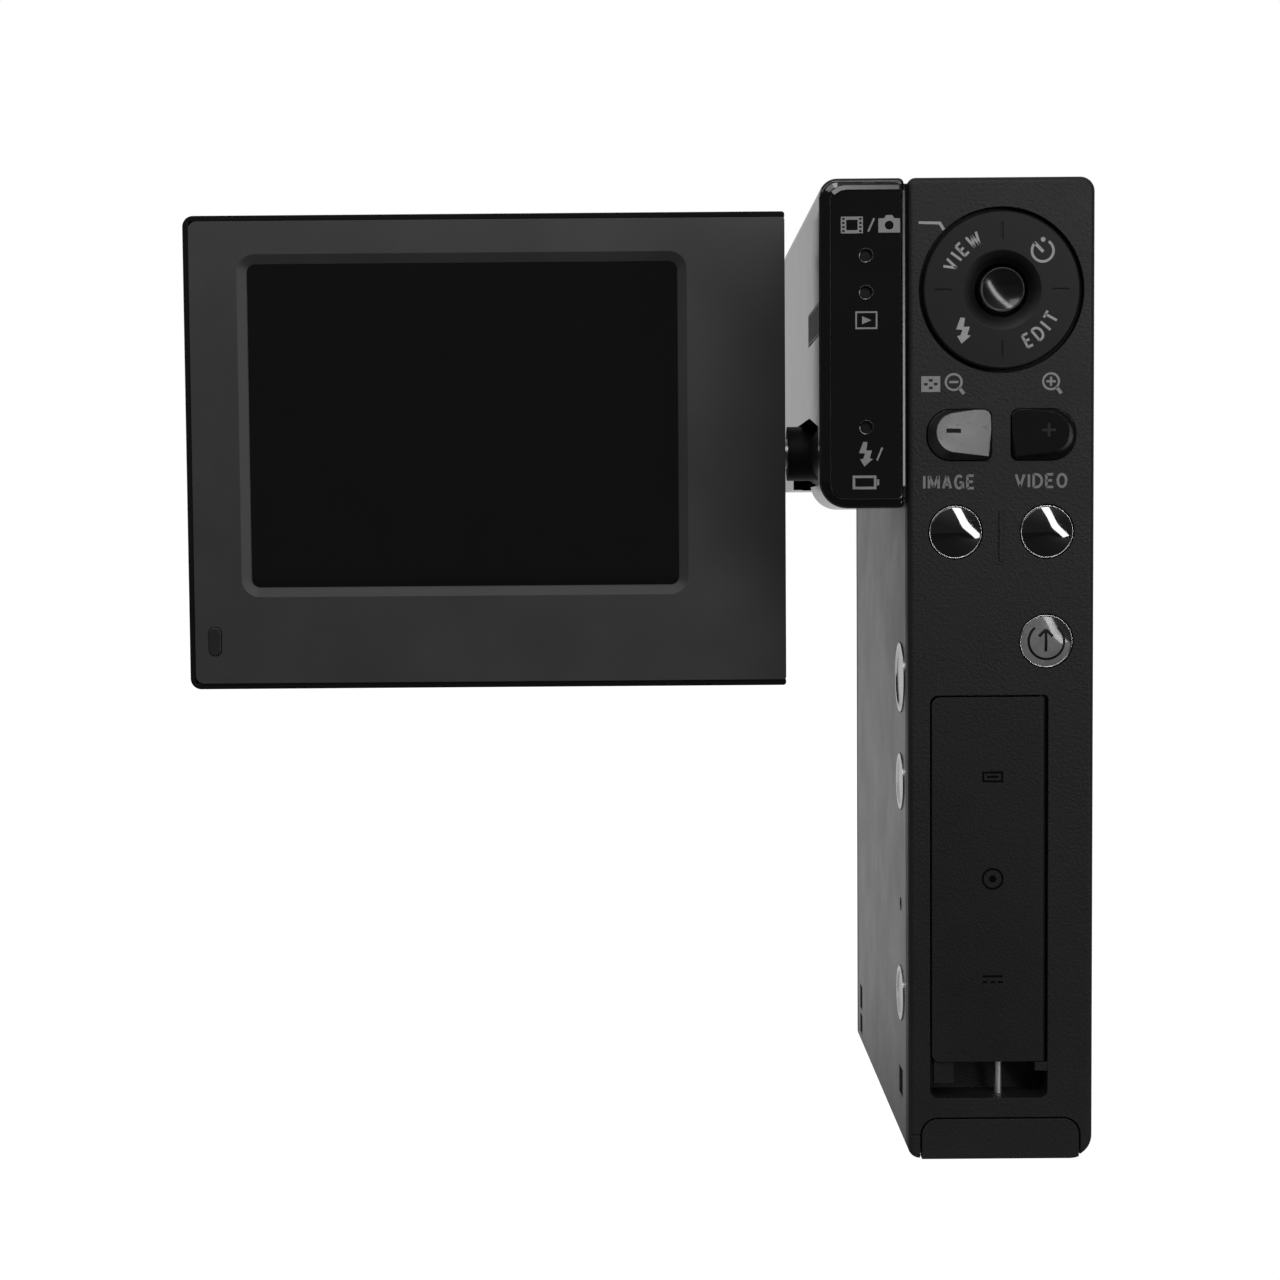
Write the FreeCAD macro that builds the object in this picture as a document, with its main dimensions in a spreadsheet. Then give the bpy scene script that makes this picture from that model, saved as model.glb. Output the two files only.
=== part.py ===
import FreeCAD, Part
import math
import os
import re

import Sketcher

# An upright palm-size camcorder: a slim grip, a glossy head block on its upper left side, and a monitor
# that folds and swivels on a barrel hinge in the head block.
# X runs to the right as the user sees the back of the camera, Y forwards to the lens, Z up.
# The origin is the mouth of the tripod socket, on the middle of the grip's bottom face. Millimetres.

DIMENSIONS = [
    # Grip
    ("grip_width", 20.4, "left side to right side"),
    ("grip_height", 108.0, "bottom face to top face"),
    ("rear_face", -46.0, "back face, from the tripod socket"),
    ("front_face", 10.0, "front face, from the tripod socket"),
    ("wall", 1.2, "moulded wall of every casing"),
    ("rear_thick", 2.4, "rear cover"),
    ("front_thick", 2.0, "front cover"),
    ("round_low_left", 1.3, "grip outline, lower left corner"),
    ("round_low_right", 2.5, "grip outline, lower right corner"),
    ("round_top_right", 1.6, "grip outline, upper right corner"),
    ("round_top_left", 0.9, "grip outline, upper left corner"),
    ("round_inside", 0.6, "inside corners of the casing"),
    ("edge_round", 0.6, "rounded rim of the rear and front covers"),
    ("slack", 0.05, "gap between fitted parts"),
    # Head block
    ("head_left", -19.8, "left face of the head block"),
    ("head_seam", 0.35, "groove between head block and grip"),
    ("head_seam_deep", 0.6, "depth of that groove"),
    ("head_bottom", 72.2, "underside of the head block"),
    ("head_round_top", 2.0, "upper left corner of the head block"),
    ("head_round_low", 3.0, "lower left corner of the head block"),
    ("head_round_right", 0.6, "right corners of the head block"),
    ("head_rim", 0.45, "rounded front and rear rims"),
    ("face_inset", 0.5, "foot of the sloped border, in from the outline"),
    ("face_inset_right", 0.12, "foot of the sloped border beside the grip"),
    ("face_border", 0.55, "width of the sloped border of the rear face"),
    ("face_rise", 0.16, "height of the sloped border"),
    ("face_round", 0.8, "corners of the sloped border beside the grip"),
    ("head_rear_wall", 2.2, "rear wall, with the pocket for the indicator panel"),
    ("panel_left", -18.5, "indicator panel, left edge"),
    ("panel_width", 7.6, "indicator panel"),
    ("panel_height", 33.6, "indicator panel"),
    ("panel_thick", 1.0, "indicator panel"),
    ("panel_round", 1.4, "indicator panel corners"),
    ("light_x", -14.74, "centre line of the indicator lights"),
    ("light_radius", 0.6, "indicator lights"),
    ("light_long", 3.0, "light guides"),
    ("light_drop", 0.3, "light guides below the rear face"),
    ("light_top", 99.6, "movie light height"),
    ("light_middle", 95.6, "photo light height"),
    ("light_low", 80.98, "charge light height"),
    ("speaker_mark_y", -45.2, "panel over the speaker in the left face"),
    ("speaker_mark_z", 91.0, "underside of that panel"),
    ("speaker_mark_long", 14.5, "length of that panel"),
    ("speaker_mark_high", 3.7, "height of that panel"),
    ("shallow", 0.25, "depth of engraved outlines"),
    # Monitor hinge
    ("fold_x", -15.0, "fold axis"),
    ("hinge_z", 79.2, "height of the fold and swivel axes"),
    ("swivel_y", -18.0, "swivel axis, at the middle of the depth"),
    ("barrel_radius", 4.1, "hinge barrel"),
    ("barrel_back", -37.6, "rear end of the barrel"),
    ("barrel_long", 31.2, "hinge barrel"),
    ("barrel_room", 0.3, "air between barrel and head block"),
    ("mouth_top", 82.75, "upper edge of the opening for the barrel"),
    ("mouth_bend", -32.0, "where that edge starts to fall towards the rear"),
    ("mouth_slant", 7.4, "degrees it falls there"),
    ("step_start", -33.0, "rear end of the raised underside"),
    ("step_high", 2.8, "raised underside above the chin at the rear"),
    ("boss_radius", 3.3, "swivel boss on the barrel"),
    ("boss_gap", 0.5, "air between boss and monitor"),
    ("axle_radius", 1.5, "fold axle"),
    ("axle_run", 0.05, "running clearance of axles and shafts"),
    ("ear_thick", 1.7, "bracket ears"),
    ("ear_gap", 1.3, "bracket ear from the end of the barrel"),
    ("bracket_plate", 0.45, "bracket back plate"),
    ("shaft_radius", 1.8, "swivel shaft"),
    ("shaft_long", 15.6, "swivel shaft, from the fold axis side to its collar"),
    ("collar_radius", 2.6, "retaining collar"),
    ("collar_thick", 1.0, "retaining collar"),
    # Monitor
    ("lcd_long", 72.2, "monitor, hinge edge to free edge"),
    ("lcd_high", 56.9, "monitor height"),
    ("lcd_lift", 0.4, "middle of the monitor above the swivel axis"),
    ("lcd_thick", 8.6, "monitor thickness"),
    ("lcd_near", 6.95, "hinge edge from the fold axis"),
    ("lcd_rim", 0.65, "rim of the back cover round the bezel"),
    ("lcd_round", 1.3, "free corners of the monitor"),
    ("lcd_square", 0.35, "hinge corners of the monitor"),
    ("lcd_back_round", 1.2, "rounded edge of the back"),
    ("bezel_thick", 1.4, "bezel"),
    ("bezel_proud", 0.2, "bezel ahead of the rim"),
    ("window_wide", 51.6, "opening over the picture"),
    ("window_high", 38.7, "opening over the picture"),
    ("window_round", 0.95, "corners of the opening"),
    ("window_bevel", 1.2, "sloped border of the opening"),
    ("window_deep", 0.7, "window face below the bezel face"),
    ("window_lap", 1.3, "window edge behind the bezel"),
    ("window_from_free", 7.65, "opening from the free edge"),
    ("window_from_bottom", 12.35, "opening from the lower edge"),
    ("module_wide", 52.0, "display module"),
    ("module_high", 44.0, "display module"),
    ("module_thick", 3.4, "display module"),
    ("stub_wide", 1.5, "latch stub"),
    ("stub_high", 3.4, "latch stub"),
    ("stub_round", 0.71, "latch stub corners"),
    ("stub_from_free", 3.1, "latch stub centre from the free edge"),
    ("stub_from_bottom", 5.8, "latch stub centre from the lower edge"),
    ("stub_proud", 0.25, "latch stub ahead of the bezel"),
    ("shaft_block_long", 8.0, "block that holds the swivel shaft"),
    ("shaft_block_high", 8.0, "block that holds the swivel shaft"),
    ("lcd_screw_offset", 23.0, "monitor screws above and below the swivel axis"),
    # Selector and joystick
    ("dial_z", 95.77, "centre of the selector"),
    ("well_radius", 9.0, "selector well"),
    ("well_deep", 1.45, "selector well"),
    ("ring_radius", 8.6, "selector ring"),
    ("ring_top", 0.25, "selector ring ahead of the rear face"),
    ("ring_back", 0.95, "underside of the ring below the rear face"),
    ("ring_bevel", 0.2, "sloped outer edge of the ring"),
    ("tick_start", 5.5, "grooves on the ring, from the selector's centre"),
    ("tick_long", 1.8, "grooves on the ring"),
    ("tick_wide", 0.24, "grooves on the ring"),
    ("tick_deep", 0.12, "grooves on the ring"),
    ("dish_radius", 4.3, "dish in the ring"),
    ("dish_floor_radius", 2.9, "floor of the dish"),
    ("dish_deep", 0.45, "depth of the dish"),
    ("neck_outer", 4.5, "neck under the ring"),
    ("neck_inner", 3.3, "neck under the ring"),
    ("neck_long", 1.75, "neck under the ring"),
    ("gimbal_inner", 4.85, "gimbal ring"),
    ("gimbal_outer", 6.15, "gimbal ring"),
    ("gimbal_thick", 0.9, "gimbal ring"),
    ("gimbal_drop", 2.0, "gimbal axis below the rear face"),
    ("gimbal_hole", 6.6, "hole in the rear cover"),
    ("gimbal_pin", 0.3, "gimbal pins"),
    ("stick_radius", 2.4, "joystick cap"),
    ("stick_top", 0.5, "joystick cap ahead of the rear face"),
    ("stick_thick", 1.3, "joystick cap"),
    ("stick_stem", 0.7, "joystick stem"),
    ("stick_crown", 5.6, "radius of the hollow in the joystick cap"),
    ("stick_hollow", 0.45, "depth of that hollow"),
    ("pivot_drop", 3.2, "joystick pivot below the rear face"),
    ("pivot_pin", 0.25, "joystick pivot pins"),
    ("rocker_half", 1.55, "half width of the joystick rocker"),
    ("rocker_open", 0.9, "half width of the opening in it"),
    ("rocker_thick", 0.7, "joystick rocker"),
    ("plunger_radius", 2.6, "joystick plunger"),
    ("plunger_drop", 4.4, "face of the plunger below the rear face"),
    ("plunger_thick", 0.4, "joystick plunger"),
    ("ear_wide", 0.55, "ears of the plunger"),
    # Keys on the rear face
    ("key_flange", 0.5, "flange round a key"),
    ("flange_thick", 0.6, "flange of a key"),
    ("flange_drop", 2.5, "flange below the rear face"),
    ("key_gap", 0.1, "gap round a key"),
    ("key_proud", 0.45, "round keys ahead of the rear face"),
    ("dome_slope", 0.177, "slope of a round key's face 1 mm from its middle"),
    ("dome_growth", 0.52, "power of the radius by which that slope grows outwards"),
    ("stem_radius", 1.0, "stem under a key"),
    ("stem_end", 4.65, "end of the stem below the rear face"),
    ("zoom_x", 4.6, "zoom keys from the middle"),
    ("zoom_z", 80.1, "zoom keys"),
    ("zoom_wide", 7.15, "opening of a zoom key"),
    ("zoom_high", 5.67, "opening of a zoom key"),
    ("zoom_round", 2.7, "outer corners of a zoom key"),
    ("zoom_proud", 0.25, "foot of a zoom key's sloped sides, ahead of the rear face"),
    ("zoom_crest", 1.75, "top of those sides, ahead of the rear face"),
    ("zoom_side", 1.3, "width of those sides"),
    ("zoom_middle", 0.85, "middle of a zoom key's touch face, ahead of the rear face"),
    ("zoom_lean", 8.5, "degrees the touch face leans towards the middle of the grip"),
    ("zoom_tip", 7.0, "degrees the touch face leans upwards"),
    ("take_x", 5.0, "photo and movie buttons from the middle"),
    ("take_z", 69.5, "photo and movie buttons"),
    ("take_radius", 3.0, "opening of the photo and movie buttons"),
    ("share_x", 4.94, "share button"),
    ("share_z", 57.5, "share button"),
    ("ridge_low", 66.3, "foot of the ridge between the buttons"),
    ("ridge_high", 5.5, "height of that ridge"),
    ("ridge_wide", 0.5, "width of that ridge"),
    ("ridge_proud", 0.15, "ridge ahead of the rear face"),
    # Buttons on the left side
    ("side_y", -39.2, "buttons on the left side"),
    ("power_z", 53.2, "power button"),
    ("power_radius", 4.0, "opening of the power button"),
    ("playback_z", 41.4, "playback button"),
    ("playback_radius", 3.25, "opening of the playback button"),
    ("display_z", 17.2, "display button"),
    ("display_radius", 3.15, "opening of the display button"),
    ("reset_z", 27.4, "reset hole"),
    ("reset_radius", 0.8, "reset hole"),
    ("side_proud", 0.15, "side buttons ahead of the left face"),
    ("side_dish", 0.6, "dish of a side button, in from the opening"),
    ("side_dish_floor", 0.9, "floor of that dish, in from the opening"),
    ("side_flange", 0.3, "flange round a side button"),
    ("side_flange_thick", 0.5, "flange of a side button"),
    ("slot_z", 5.4, "slot near the foot of the left face"),
    ("slot_high", 3.2, "slot height"),
    ("slot_wide", 3.2, "slot width"),
    ("catch_y", 3.0, "catch holes in the left face"),
    ("catch_wide", 2.7, "catch holes"),
    ("catch_low_z", 2.0, "lower catch hole"),
    ("catch_low_high", 2.6, "lower catch hole"),
    ("catch_high_z", 5.3, "upper catch hole"),
    ("catch_high_high", 3.2, "upper catch hole"),
    ("pocket_deep", 0.7, "depth of blind holes in a wall"),
    # Jack cover and strap recess
    ("jack_left", -7.8, "recess of the jack cover"),
    ("jack_right", 5.2, "recess of the jack cover"),
    ("jack_low", 10.9, "lower edge of the jack cover"),
    ("jack_top", 51.6, "top of the recess"),
    ("jack_round", 0.9, "corners of the recess"),
    ("jack_round_hinge", 0.5, "upper corner of the recess beside the hinge"),
    ("jack_deep", 1.7, "depth of the recess"),
    ("jack_thick", 1.2, "jack cover"),
    ("jack_gap", 0.2, "gap round the jack cover"),
    ("jack_peg", 0.35, "hinge pegs of the jack cover"),
    ("peg_long", 0.5, "hinge pegs of the jack cover"),
    ("lug_high", 0.95, "lug under the lower peg"),
    ("tab_wide", 2.2, "pull tab"),
    ("tab_high", 2.5, "pull tab"),
    ("tab_thick", 0.8, "pull tab"),
    ("strap_low", 6.8, "foot of the strap recess"),
    ("strap_deep", 4.8, "depth of the strap recess"),
    ("strap_wall", 0.7, "wall of the strap cup"),
    ("strap_x", 0.1, "strap bar"),
    ("strap_drop", 2.5, "strap bar below the rear face"),
    ("strap_radius", 0.42, "strap bar"),
    ("strap_sunk", 0.5, "strap bar ends in the cup"),
    # Battery door
    ("tongue_wide", 17.4, "tongue of the battery door"),
    ("tongue_high", 4.45, "tongue of the battery door"),
    ("tongue_round", 1.8, "upper corners of the tongue"),
    ("tongue_thick", 1.4, "tongue of the battery door"),
    ("tongue_air", 0.2, "gap round the tongue"),
    ("seam_z", 2.6, "short seam between the tongue and the left edge"),
    ("seam_high", 0.2, "width of that seam"),
    ("seam_deep", 0.2, "depth of that seam"),
    ("door_wide", 15.2, "battery door plate"),
    ("door_thick", 1.2, "battery door plate"),
    ("door_axis_y", -7.6, "hinge axis of the battery door"),
    ("door_peg", 0.4, "hinge pegs of the battery door"),
    ("door_peg_long", 0.7, "hinge pegs of the battery door"),
    ("latch_y", -42.0, "rear end of the battery latch"),
    ("latch_wide", 5.6, "battery latch"),
    ("latch_long", 2.8, "battery latch"),
    ("latch_travel", 1.6, "battery latch"),
    ("latch_plate", 0.5, "plate of the latch above the door"),
    # Battery, card and boards
    ("bay_half", 8.6, "half width of the battery bay"),
    ("bay_back", -34.4, "rear wall of the bay"),
    ("bay_long", 28.6, "length of the bay"),
    ("bay_low", 1.3, "foot of the bay"),
    ("bay_high", 49.3, "height of the bay"),
    ("bay_wall", 0.8, "wall of the bay"),
    ("battery_left", -7.6, "battery"),
    ("battery_wide", 12.0, "battery"),
    ("battery_long", 26.4, "battery"),
    ("battery_high", 45.6, "battery"),
    ("battery_round", 1.5, "battery edges"),
    ("card_x", 5.45, "memory card"),
    ("card_thick", 1.6, "memory card"),
    ("card_long", 20.0, "memory card"),
    ("card_high", 31.0, "memory card"),
    ("card_low", 3.0, "foot of the memory card"),
    ("socket_left", 4.8, "card socket"),
    ("socket_thick", 2.9, "card socket"),
    ("socket_long", 23.0, "card socket"),
    ("socket_high", 30.0, "card socket"),
    ("socket_low", 8.0, "card socket"),
    ("main_x", -8.8, "main board"),
    ("board_thick", 1.0, "main board"),
    ("main_back", -34.0, "main board"),
    ("main_long", 40.0, "main board"),
    ("main_low", 52.4, "main board"),
    ("main_high", 29.6, "main board"),
    ("chip_wide", 12.0, "processor on the main board"),
    ("chip_thick", 1.2, "processor on the main board"),
    ("key_board_left", -6.6, "rear key board"),
    ("key_board_wide", 15.2, "rear key board"),
    ("key_board_low", 53.6, "rear key board"),
    ("key_board_high", 51.2, "rear key board"),
    ("key_board_drop", 5.6, "rear key board below the rear face"),
    ("key_board_thick", 0.8, "rear key board"),
    ("dome_radius", 1.5, "dome switches"),
    ("dome_high", 0.4, "dome switches"),
    ("dome_offset", 3.25, "selector switches from the selector's centre, across and up"),
    ("side_board_x", -7.5, "side key board"),
    ("side_board_thick", 0.6, "side key board"),
    ("side_board_back", -43.2, "side key board"),
    ("side_board_long", 7.2, "side key board"),
    ("side_board_low", 12.4, "side key board"),
    ("side_board_high", 42.8, "side key board"),
    # Sockets behind the jack cover
    ("jack_x", -0.9, "centre of the sockets"),
    ("usb_z", 42.6, "data socket"),
    ("usb_wide", 8.0, "data socket"),
    ("usb_high", 3.8, "data socket"),
    ("av_z", 31.3, "audio and video socket"),
    ("dc_z", 20.1, "power socket"),
    ("round_jack", 6.8, "round sockets, side of the block"),
    ("av_bore", 1.8, "audio and video bore"),
    ("dc_bore", 2.1, "power bore"),
    ("dc_pin", 0.7, "power pin"),
    ("jack_body", 7.5, "length of the sockets"),
    ("jack_shell", 0.5, "shell of the data socket"),
    ("jack_reach", 6.0, "depth of the socket mouths"),
    # Lens
    ("lens_z", 92.0, "optical axis"),
    ("tube_radius", 8.2, "lens housing"),
    ("tube_bore", 7.0, "lens housing"),
    ("tube_back", -30.0, "rear end of the lens housing"),
    ("ring_outer", 8.5, "lens ring"),
    ("ring_inner", 5.6, "lens ring"),
    ("ring_cone", 6.6, "mouth of the lens ring"),
    ("glass_y", 4.4, "front glass"),
    ("glass_thick", 2.2, "front glass"),
    ("glass_crown", 18.0, "radius of the front glass"),
    ("zoom_y", -8.0, "zoom lens group"),
    ("focus_y", -24.0, "focus lens group"),
    ("group_long", 5.0, "lens groups"),
    ("group_run", 0.06, "clearance of the lens groups"),
    ("element_radius", 4.6, "lens in its cell"),
    ("element_crown", 9.0, "radius of the lens faces"),
    ("guide_x", 5.8, "guide rods from the optical axis"),
    ("guide_radius", 0.5, "guide rods"),
    ("guide_long", 33.4, "guide rods"),
    ("sensor_side", 12.0, "image sensor"),
    ("sensor_thick", 2.2, "image sensor"),
    ("motor_radius", 2.4, "lens motors"),
    ("motor_long", 14.0, "lens motors"),
    ("motor_x", 4.9, "lens motors from the middle"),
    ("motor_z", 79.4, "lens motors"),
    ("motor_y", -26.0, "lens motors"),
    ("motor_shaft", 0.5, "lens motor shaft"),
    ("motor_shaft_long", 6.0, "lens motor shaft"),
    # Flash, speaker and microphones
    ("flash_left", -18.0, "flash window"),
    ("flash_wide", 6.4, "flash window"),
    ("flash_low", 96.6, "flash window"),
    ("flash_high", 7.6, "flash window"),
    ("reflector_long", 3.6, "flash reflector"),
    ("reflector_wall", 0.5, "flash reflector"),
    ("capacitor_radius", 3.4, "flash capacitor"),
    ("capacitor_long", 24.0, "flash capacitor"),
    ("capacitor_y", -30.0, "flash capacitor"),
    ("capacitor_z", 101.6, "flash capacitor"),
    ("speaker_long", 11.0, "speaker"),
    ("speaker_high", 8.0, "speaker"),
    ("speaker_thick", 3.0, "speaker"),
    ("mic_x", 3.5, "microphones from the middle"),
    ("mic_z", 104.1, "microphones"),
    ("mic_radius", 1.5, "microphones"),
    ("mic_long", 1.7, "microphones"),
    ("mic_hole", 0.4, "microphone holes"),
    # Screws and tripod socket
    ("post_radius", 1.6, "screw posts"),
    ("post_split", 2.0, "where the posts of the two casings meet"),
    ("screw_radius", 0.85, "casing screws"),
    ("screw_hole", 0.95, "clearance hole of the casing screws"),
    ("screw_head", 1.4, "head of the casing screws"),
    ("screw_sink", 1.5, "counterbore of the casing screws"),
    ("screw_head_thick", 0.6, "head of the casing screws"),
    ("screw_long", 14.0, "casing screws"),
    ("cross_wide", 0.35, "cross recess of a screw"),
    ("cross_long", 1.5, "cross recess of a screw"),
    ("cross_deep", 0.3, "cross recess of a screw"),
    ("lcd_screw_head", 0.95, "monitor screws"),
    ("lcd_screw_radius", 0.55, "monitor screws"),
    ("lcd_screw_long", 4.2, "monitor screws"),
    ("lcd_slot_half", 0.63, "half length of the slot in a monitor screw"),
    ("thread_radius", 2.55, "tripod thread, minor radius"),
    ("thread_deep", 5.5, "tripod thread"),
    ("bush_radius", 4.5, "tripod socket"),
    ("bush_high", 7.0, "tripod socket"),
    ("bush_flange", 5.3, "tripod socket flange"),
    ("bush_flange_thick", 0.8, "tripod socket flange"),
]

SCREW_POSTS = [(3.5, 14.0), (3.5, 46.0), (4.0, 103.8), (-35.0, 103.8), (-36.6, 63.0)]  # (Y, Z) of each post
ALONG = {
    "X": FreeCAD.Rotation(FreeCAD.Vector(0, 1, 0), 90),
    "Y": FreeCAD.Rotation(FreeCAD.Vector(1, 0, 0), -90),
    "Z": FreeCAD.Rotation(),
}
LEVEL_TOLERANCE = 1e-4  # how far apart two levels may be and still count as one
LEAST_CUT = 0.01  # smallest volume a pocket takes away
DOME_STEPS = 12  # points along the profile of a round key
CORNER_TURNS = [180, 270, 0, 90]  # start angle of the arc at each corner, from the lower left

doc = FreeCAD.newDocument("camcorder")
sheet = doc.addObject("Spreadsheet::Sheet", "dims")
nodes = []


def fill_sheet():
    for row, (alias, value, note) in enumerate(DIMENSIONS, start=1):
        sheet.set("A%d" % row, alias)
        sheet.set("B%d" % row, str(value))
        sheet.set("C%d" % row, note)
        sheet.setAlias("B%d" % row, alias)
    doc.recompute()


def rule(text):
    """An expression in which every bare word is a cell of the sheet."""
    return re.sub(r"[a-z][a-z0-9_]*", lambda word: "dims." + word.group(0), str(text))


def amount(text):
    """The present value of such an expression."""
    return float(sheet.evalExpression(rule(text)))


def bind(item, **sizes):
    for name, text in sizes.items():
        item.setExpression(name, rule(text))
    return item


def place(item, base):
    for axis, text in zip("xyz", base):
        item.setExpression(".Placement.Base." + axis, rule(text))
    return item


def box(base, size):
    solid = doc.addObject("Part::Box", "Block")
    return place(bind(solid, Length=size[0], Width=size[1], Height=size[2]), base)


def rod(axis, base, radius, long):
    """A cylinder from base along +X, +Y or +Z."""
    solid = doc.addObject("Part::Cylinder", "Rod")
    solid.Placement.Rotation = ALONG[axis]
    return place(bind(solid, Radius=radius, Height=long), base)


def cone(axis, base, first, second, long):
    solid = doc.addObject("Part::Cone", "Cone")
    solid.Placement.Rotation = ALONG[axis]
    return place(bind(solid, Radius1=first, Radius2=second, Height=long), base)


def ball(centre, radius):
    return place(bind(doc.addObject("Part::Sphere", "Ball"), Radius=radius), centre)


def join(*solids):
    result = doc.addObject("Part::MultiFuse", "Join")
    result.Shapes = list(solids)
    return result


def overlap(*solids):
    result = doc.addObject("Part::MultiCommon", "Overlap")
    result.Shapes = list(solids)
    return result


def take(base, *tools):
    """The base with every tool cut away."""
    result = doc.addObject("Part::Cut", "Take")
    result.Base = base
    result.Tool = tools[0] if len(tools) == 1 else join(*tools)
    return result


def group(*solids):
    """Separate solids that are one kind of small part, kept under one name."""
    result = doc.addObject("Part::Compound", "Group")
    result.Links = list(solids)
    return result


def turned(solid, axis, degrees, centre):
    """The solid turned about a line through centre."""
    result = doc.addObject("Part::Feature", "Turned")
    doc.recompute()
    result.Shape = solid.Shape.copy()
    point = FreeCAD.Vector(*[amount(text) for text in centre])
    turn = FreeCAD.Placement(FreeCAD.Vector(), FreeCAD.Rotation(FreeCAD.Vector(*axis), degrees), point)
    result.Placement = turn.multiply(solid.Placement)
    return result


def node(label, item):
    item.Label = label
    nodes.append(item)
    return item


def new_body(name, base):
    return place(doc.addObject("PartDesign::Body", name), base)


def sketch_on(body, role, shift=("0", "0")):
    """A sketch on one of the body's own origin planes, shifted within that plane."""
    plane = [item for item in body.Origin.OriginFeatures if item.Role == role][0]
    sketch = body.newObject("Sketcher::SketchObject", "Sketch")
    sketch.AttachmentSupport = [(plane, "")]
    sketch.MapMode = "FlatFace"
    sketch.setExpression(".AttachmentOffset.Base.x", rule(shift[0]))
    sketch.setExpression(".AttachmentOffset.Base.y", rule(shift[1]))
    return sketch


def corner_arc(corner, inward, radius, start):
    centre = FreeCAD.Vector(corner[0] + inward[0] * radius, corner[1] + inward[1] * radius, 0)
    circle = Part.Circle(centre, FreeCAD.Vector(0, 0, 1), radius)
    return Part.ArcOfCircle(circle, math.radians(start), math.radians(start + 90))


def outline(sketch, wide, high, rounds):
    """A rectangle from the sketch's origin with its own radius at each corner, from the lower left on."""
    right, top = amount(wide), amount(high)
    radii = [amount(text) for text in rounds]
    corners = [(0, 0), (right, 0), (right, top), (0, top)]
    inwards = [(1, 1), (-1, 1), (-1, -1), (1, -1)]
    steps = [(1, 0), (0, 1), (-1, 0), (0, -1)]
    for index in range(4):
        following = (index + 1) % 4
        step = steps[index]
        begin = [corners[index][k] + step[k] * radii[index] for k in (0, 1)]
        end = [corners[following][k] - step[k] * radii[following] for k in (0, 1)]
        sketch.addGeometry(Part.LineSegment(FreeCAD.Vector(*begin, 0), FreeCAD.Vector(*end, 0)), False)
    for index in range(4):
        arc = corner_arc(corners[index], inwards[index], radii[index], CORNER_TURNS[index])
        sketch.addGeometry(arc, False)
    for index in range(4):
        sketch.addConstraint(Sketcher.Constraint("Tangent", (index - 1) % 4, 2, index + 4, 1))
        sketch.addConstraint(Sketcher.Constraint("Tangent", index + 4, 2, index, 1))
        sketch.addConstraint(Sketcher.Constraint("Horizontal" if index % 2 == 0 else "Vertical", index))
    sketch.addConstraint(Sketcher.Constraint("PointOnObject", 0, 1, -1))
    sketch.addConstraint(Sketcher.Constraint("PointOnObject", 3, 1, -2))
    name_size(sketch, Sketcher.Constraint("DistanceX", 3, 1, 1, 1, right), "wide", wide)
    name_size(sketch, Sketcher.Constraint("DistanceY", 0, 1, 2, 1, top), "high", high)
    for index in range(4):
        size = Sketcher.Constraint("Radius", index + 4, radii[index])
        name_size(sketch, size, "round%d" % index, rounds[index])
    return sketch


def name_size(sketch, constraint, name, text):
    sketch.renameConstraint(sketch.addConstraint(constraint), name)
    sketch.setExpression("Constraints." + name, rule(text))


def pad(body, sketch, long, backwards=False):
    feature = body.newObject("PartDesign::Pad", "Pad")
    feature.Profile = sketch
    feature.Reversed = backwards
    bind(feature, Length=long)
    doc.recompute()
    return feature


def pocket(body, sketch, deep, backwards=False):
    before = body.Shape.Volume
    feature = body.newObject("PartDesign::Pocket", "Pocket")
    feature.Profile = sketch
    feature.Reversed = backwards
    bind(feature, Length=deep)
    doc.recompute()
    if body.Shape.Volume > before - LEAST_CUT:
        raise RuntimeError("a pocket in %s cut nothing" % body.Name)
    return feature


def fillet_where(body, radius, test):
    """Rounds every edge of the body that passes the test."""
    edges = body.Shape.Edges
    chosen = ["Edge%d" % number for number, edge in enumerate(edges, start=1) if test(edge.BoundBox)]
    feature = body.newObject("PartDesign::Fillet", "Fillet")
    feature.Base = (body.Tip if body.Tip is not feature else feature.BaseFeature, chosen)
    bind(feature, Radius=radius)
    doc.recompute()
    return feature


def flat_at(low, high, level):
    """Whether an edge lies in the plane at that level."""
    return abs(low - level) < LEVEL_TOLERANCE and abs(high - level) < LEVEL_TOLERANCE


def slab_xz(name, base, wide, high, thick, rounds):
    """A rounded plate whose outline lies in XZ and whose thickness runs along +Y."""
    body = new_body(name, base)
    pad(body, outline(sketch_on(body, "XZ_Plane"), wide, high, rounds), thick, backwards=True)
    return body


GRIP_ROUNDS = ("round_low_left", "round_low_right", "round_top_right", "round_top_left")


def grip_slab(name, start, thick):
    return slab_xz(name, ("-grip_width / 2", start, "0"), "grip_width", "grip_height", thick, GRIP_ROUNDS)


def even(radius):
    return (radius, radius, radius, radius)


# ---- casings -------------------------------------------------------------------------------------------


def casing_tube():
    """The hollow grip between its rear and front covers, before it is split in two."""
    tube = grip_slab(
        "casing_tube", "rear_face + rear_thick", "front_face - rear_face - rear_thick - front_thick"
    )
    inner = sketch_on(tube, "XZ_Plane", ("wall", "wall"))
    outline(inner, "grip_width - 2 * wall", "grip_height - 2 * wall", even("round_inside"))
    pocket(tube, inner, "front_face - rear_face")
    return tube


def half_space(side):
    base = ("-grip_width" if side < 0 else "0", "rear_face", "-grip_width")
    return box(base, ("grip_width", "front_face - rear_face", "grip_height + 2 * grip_width"))


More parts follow.
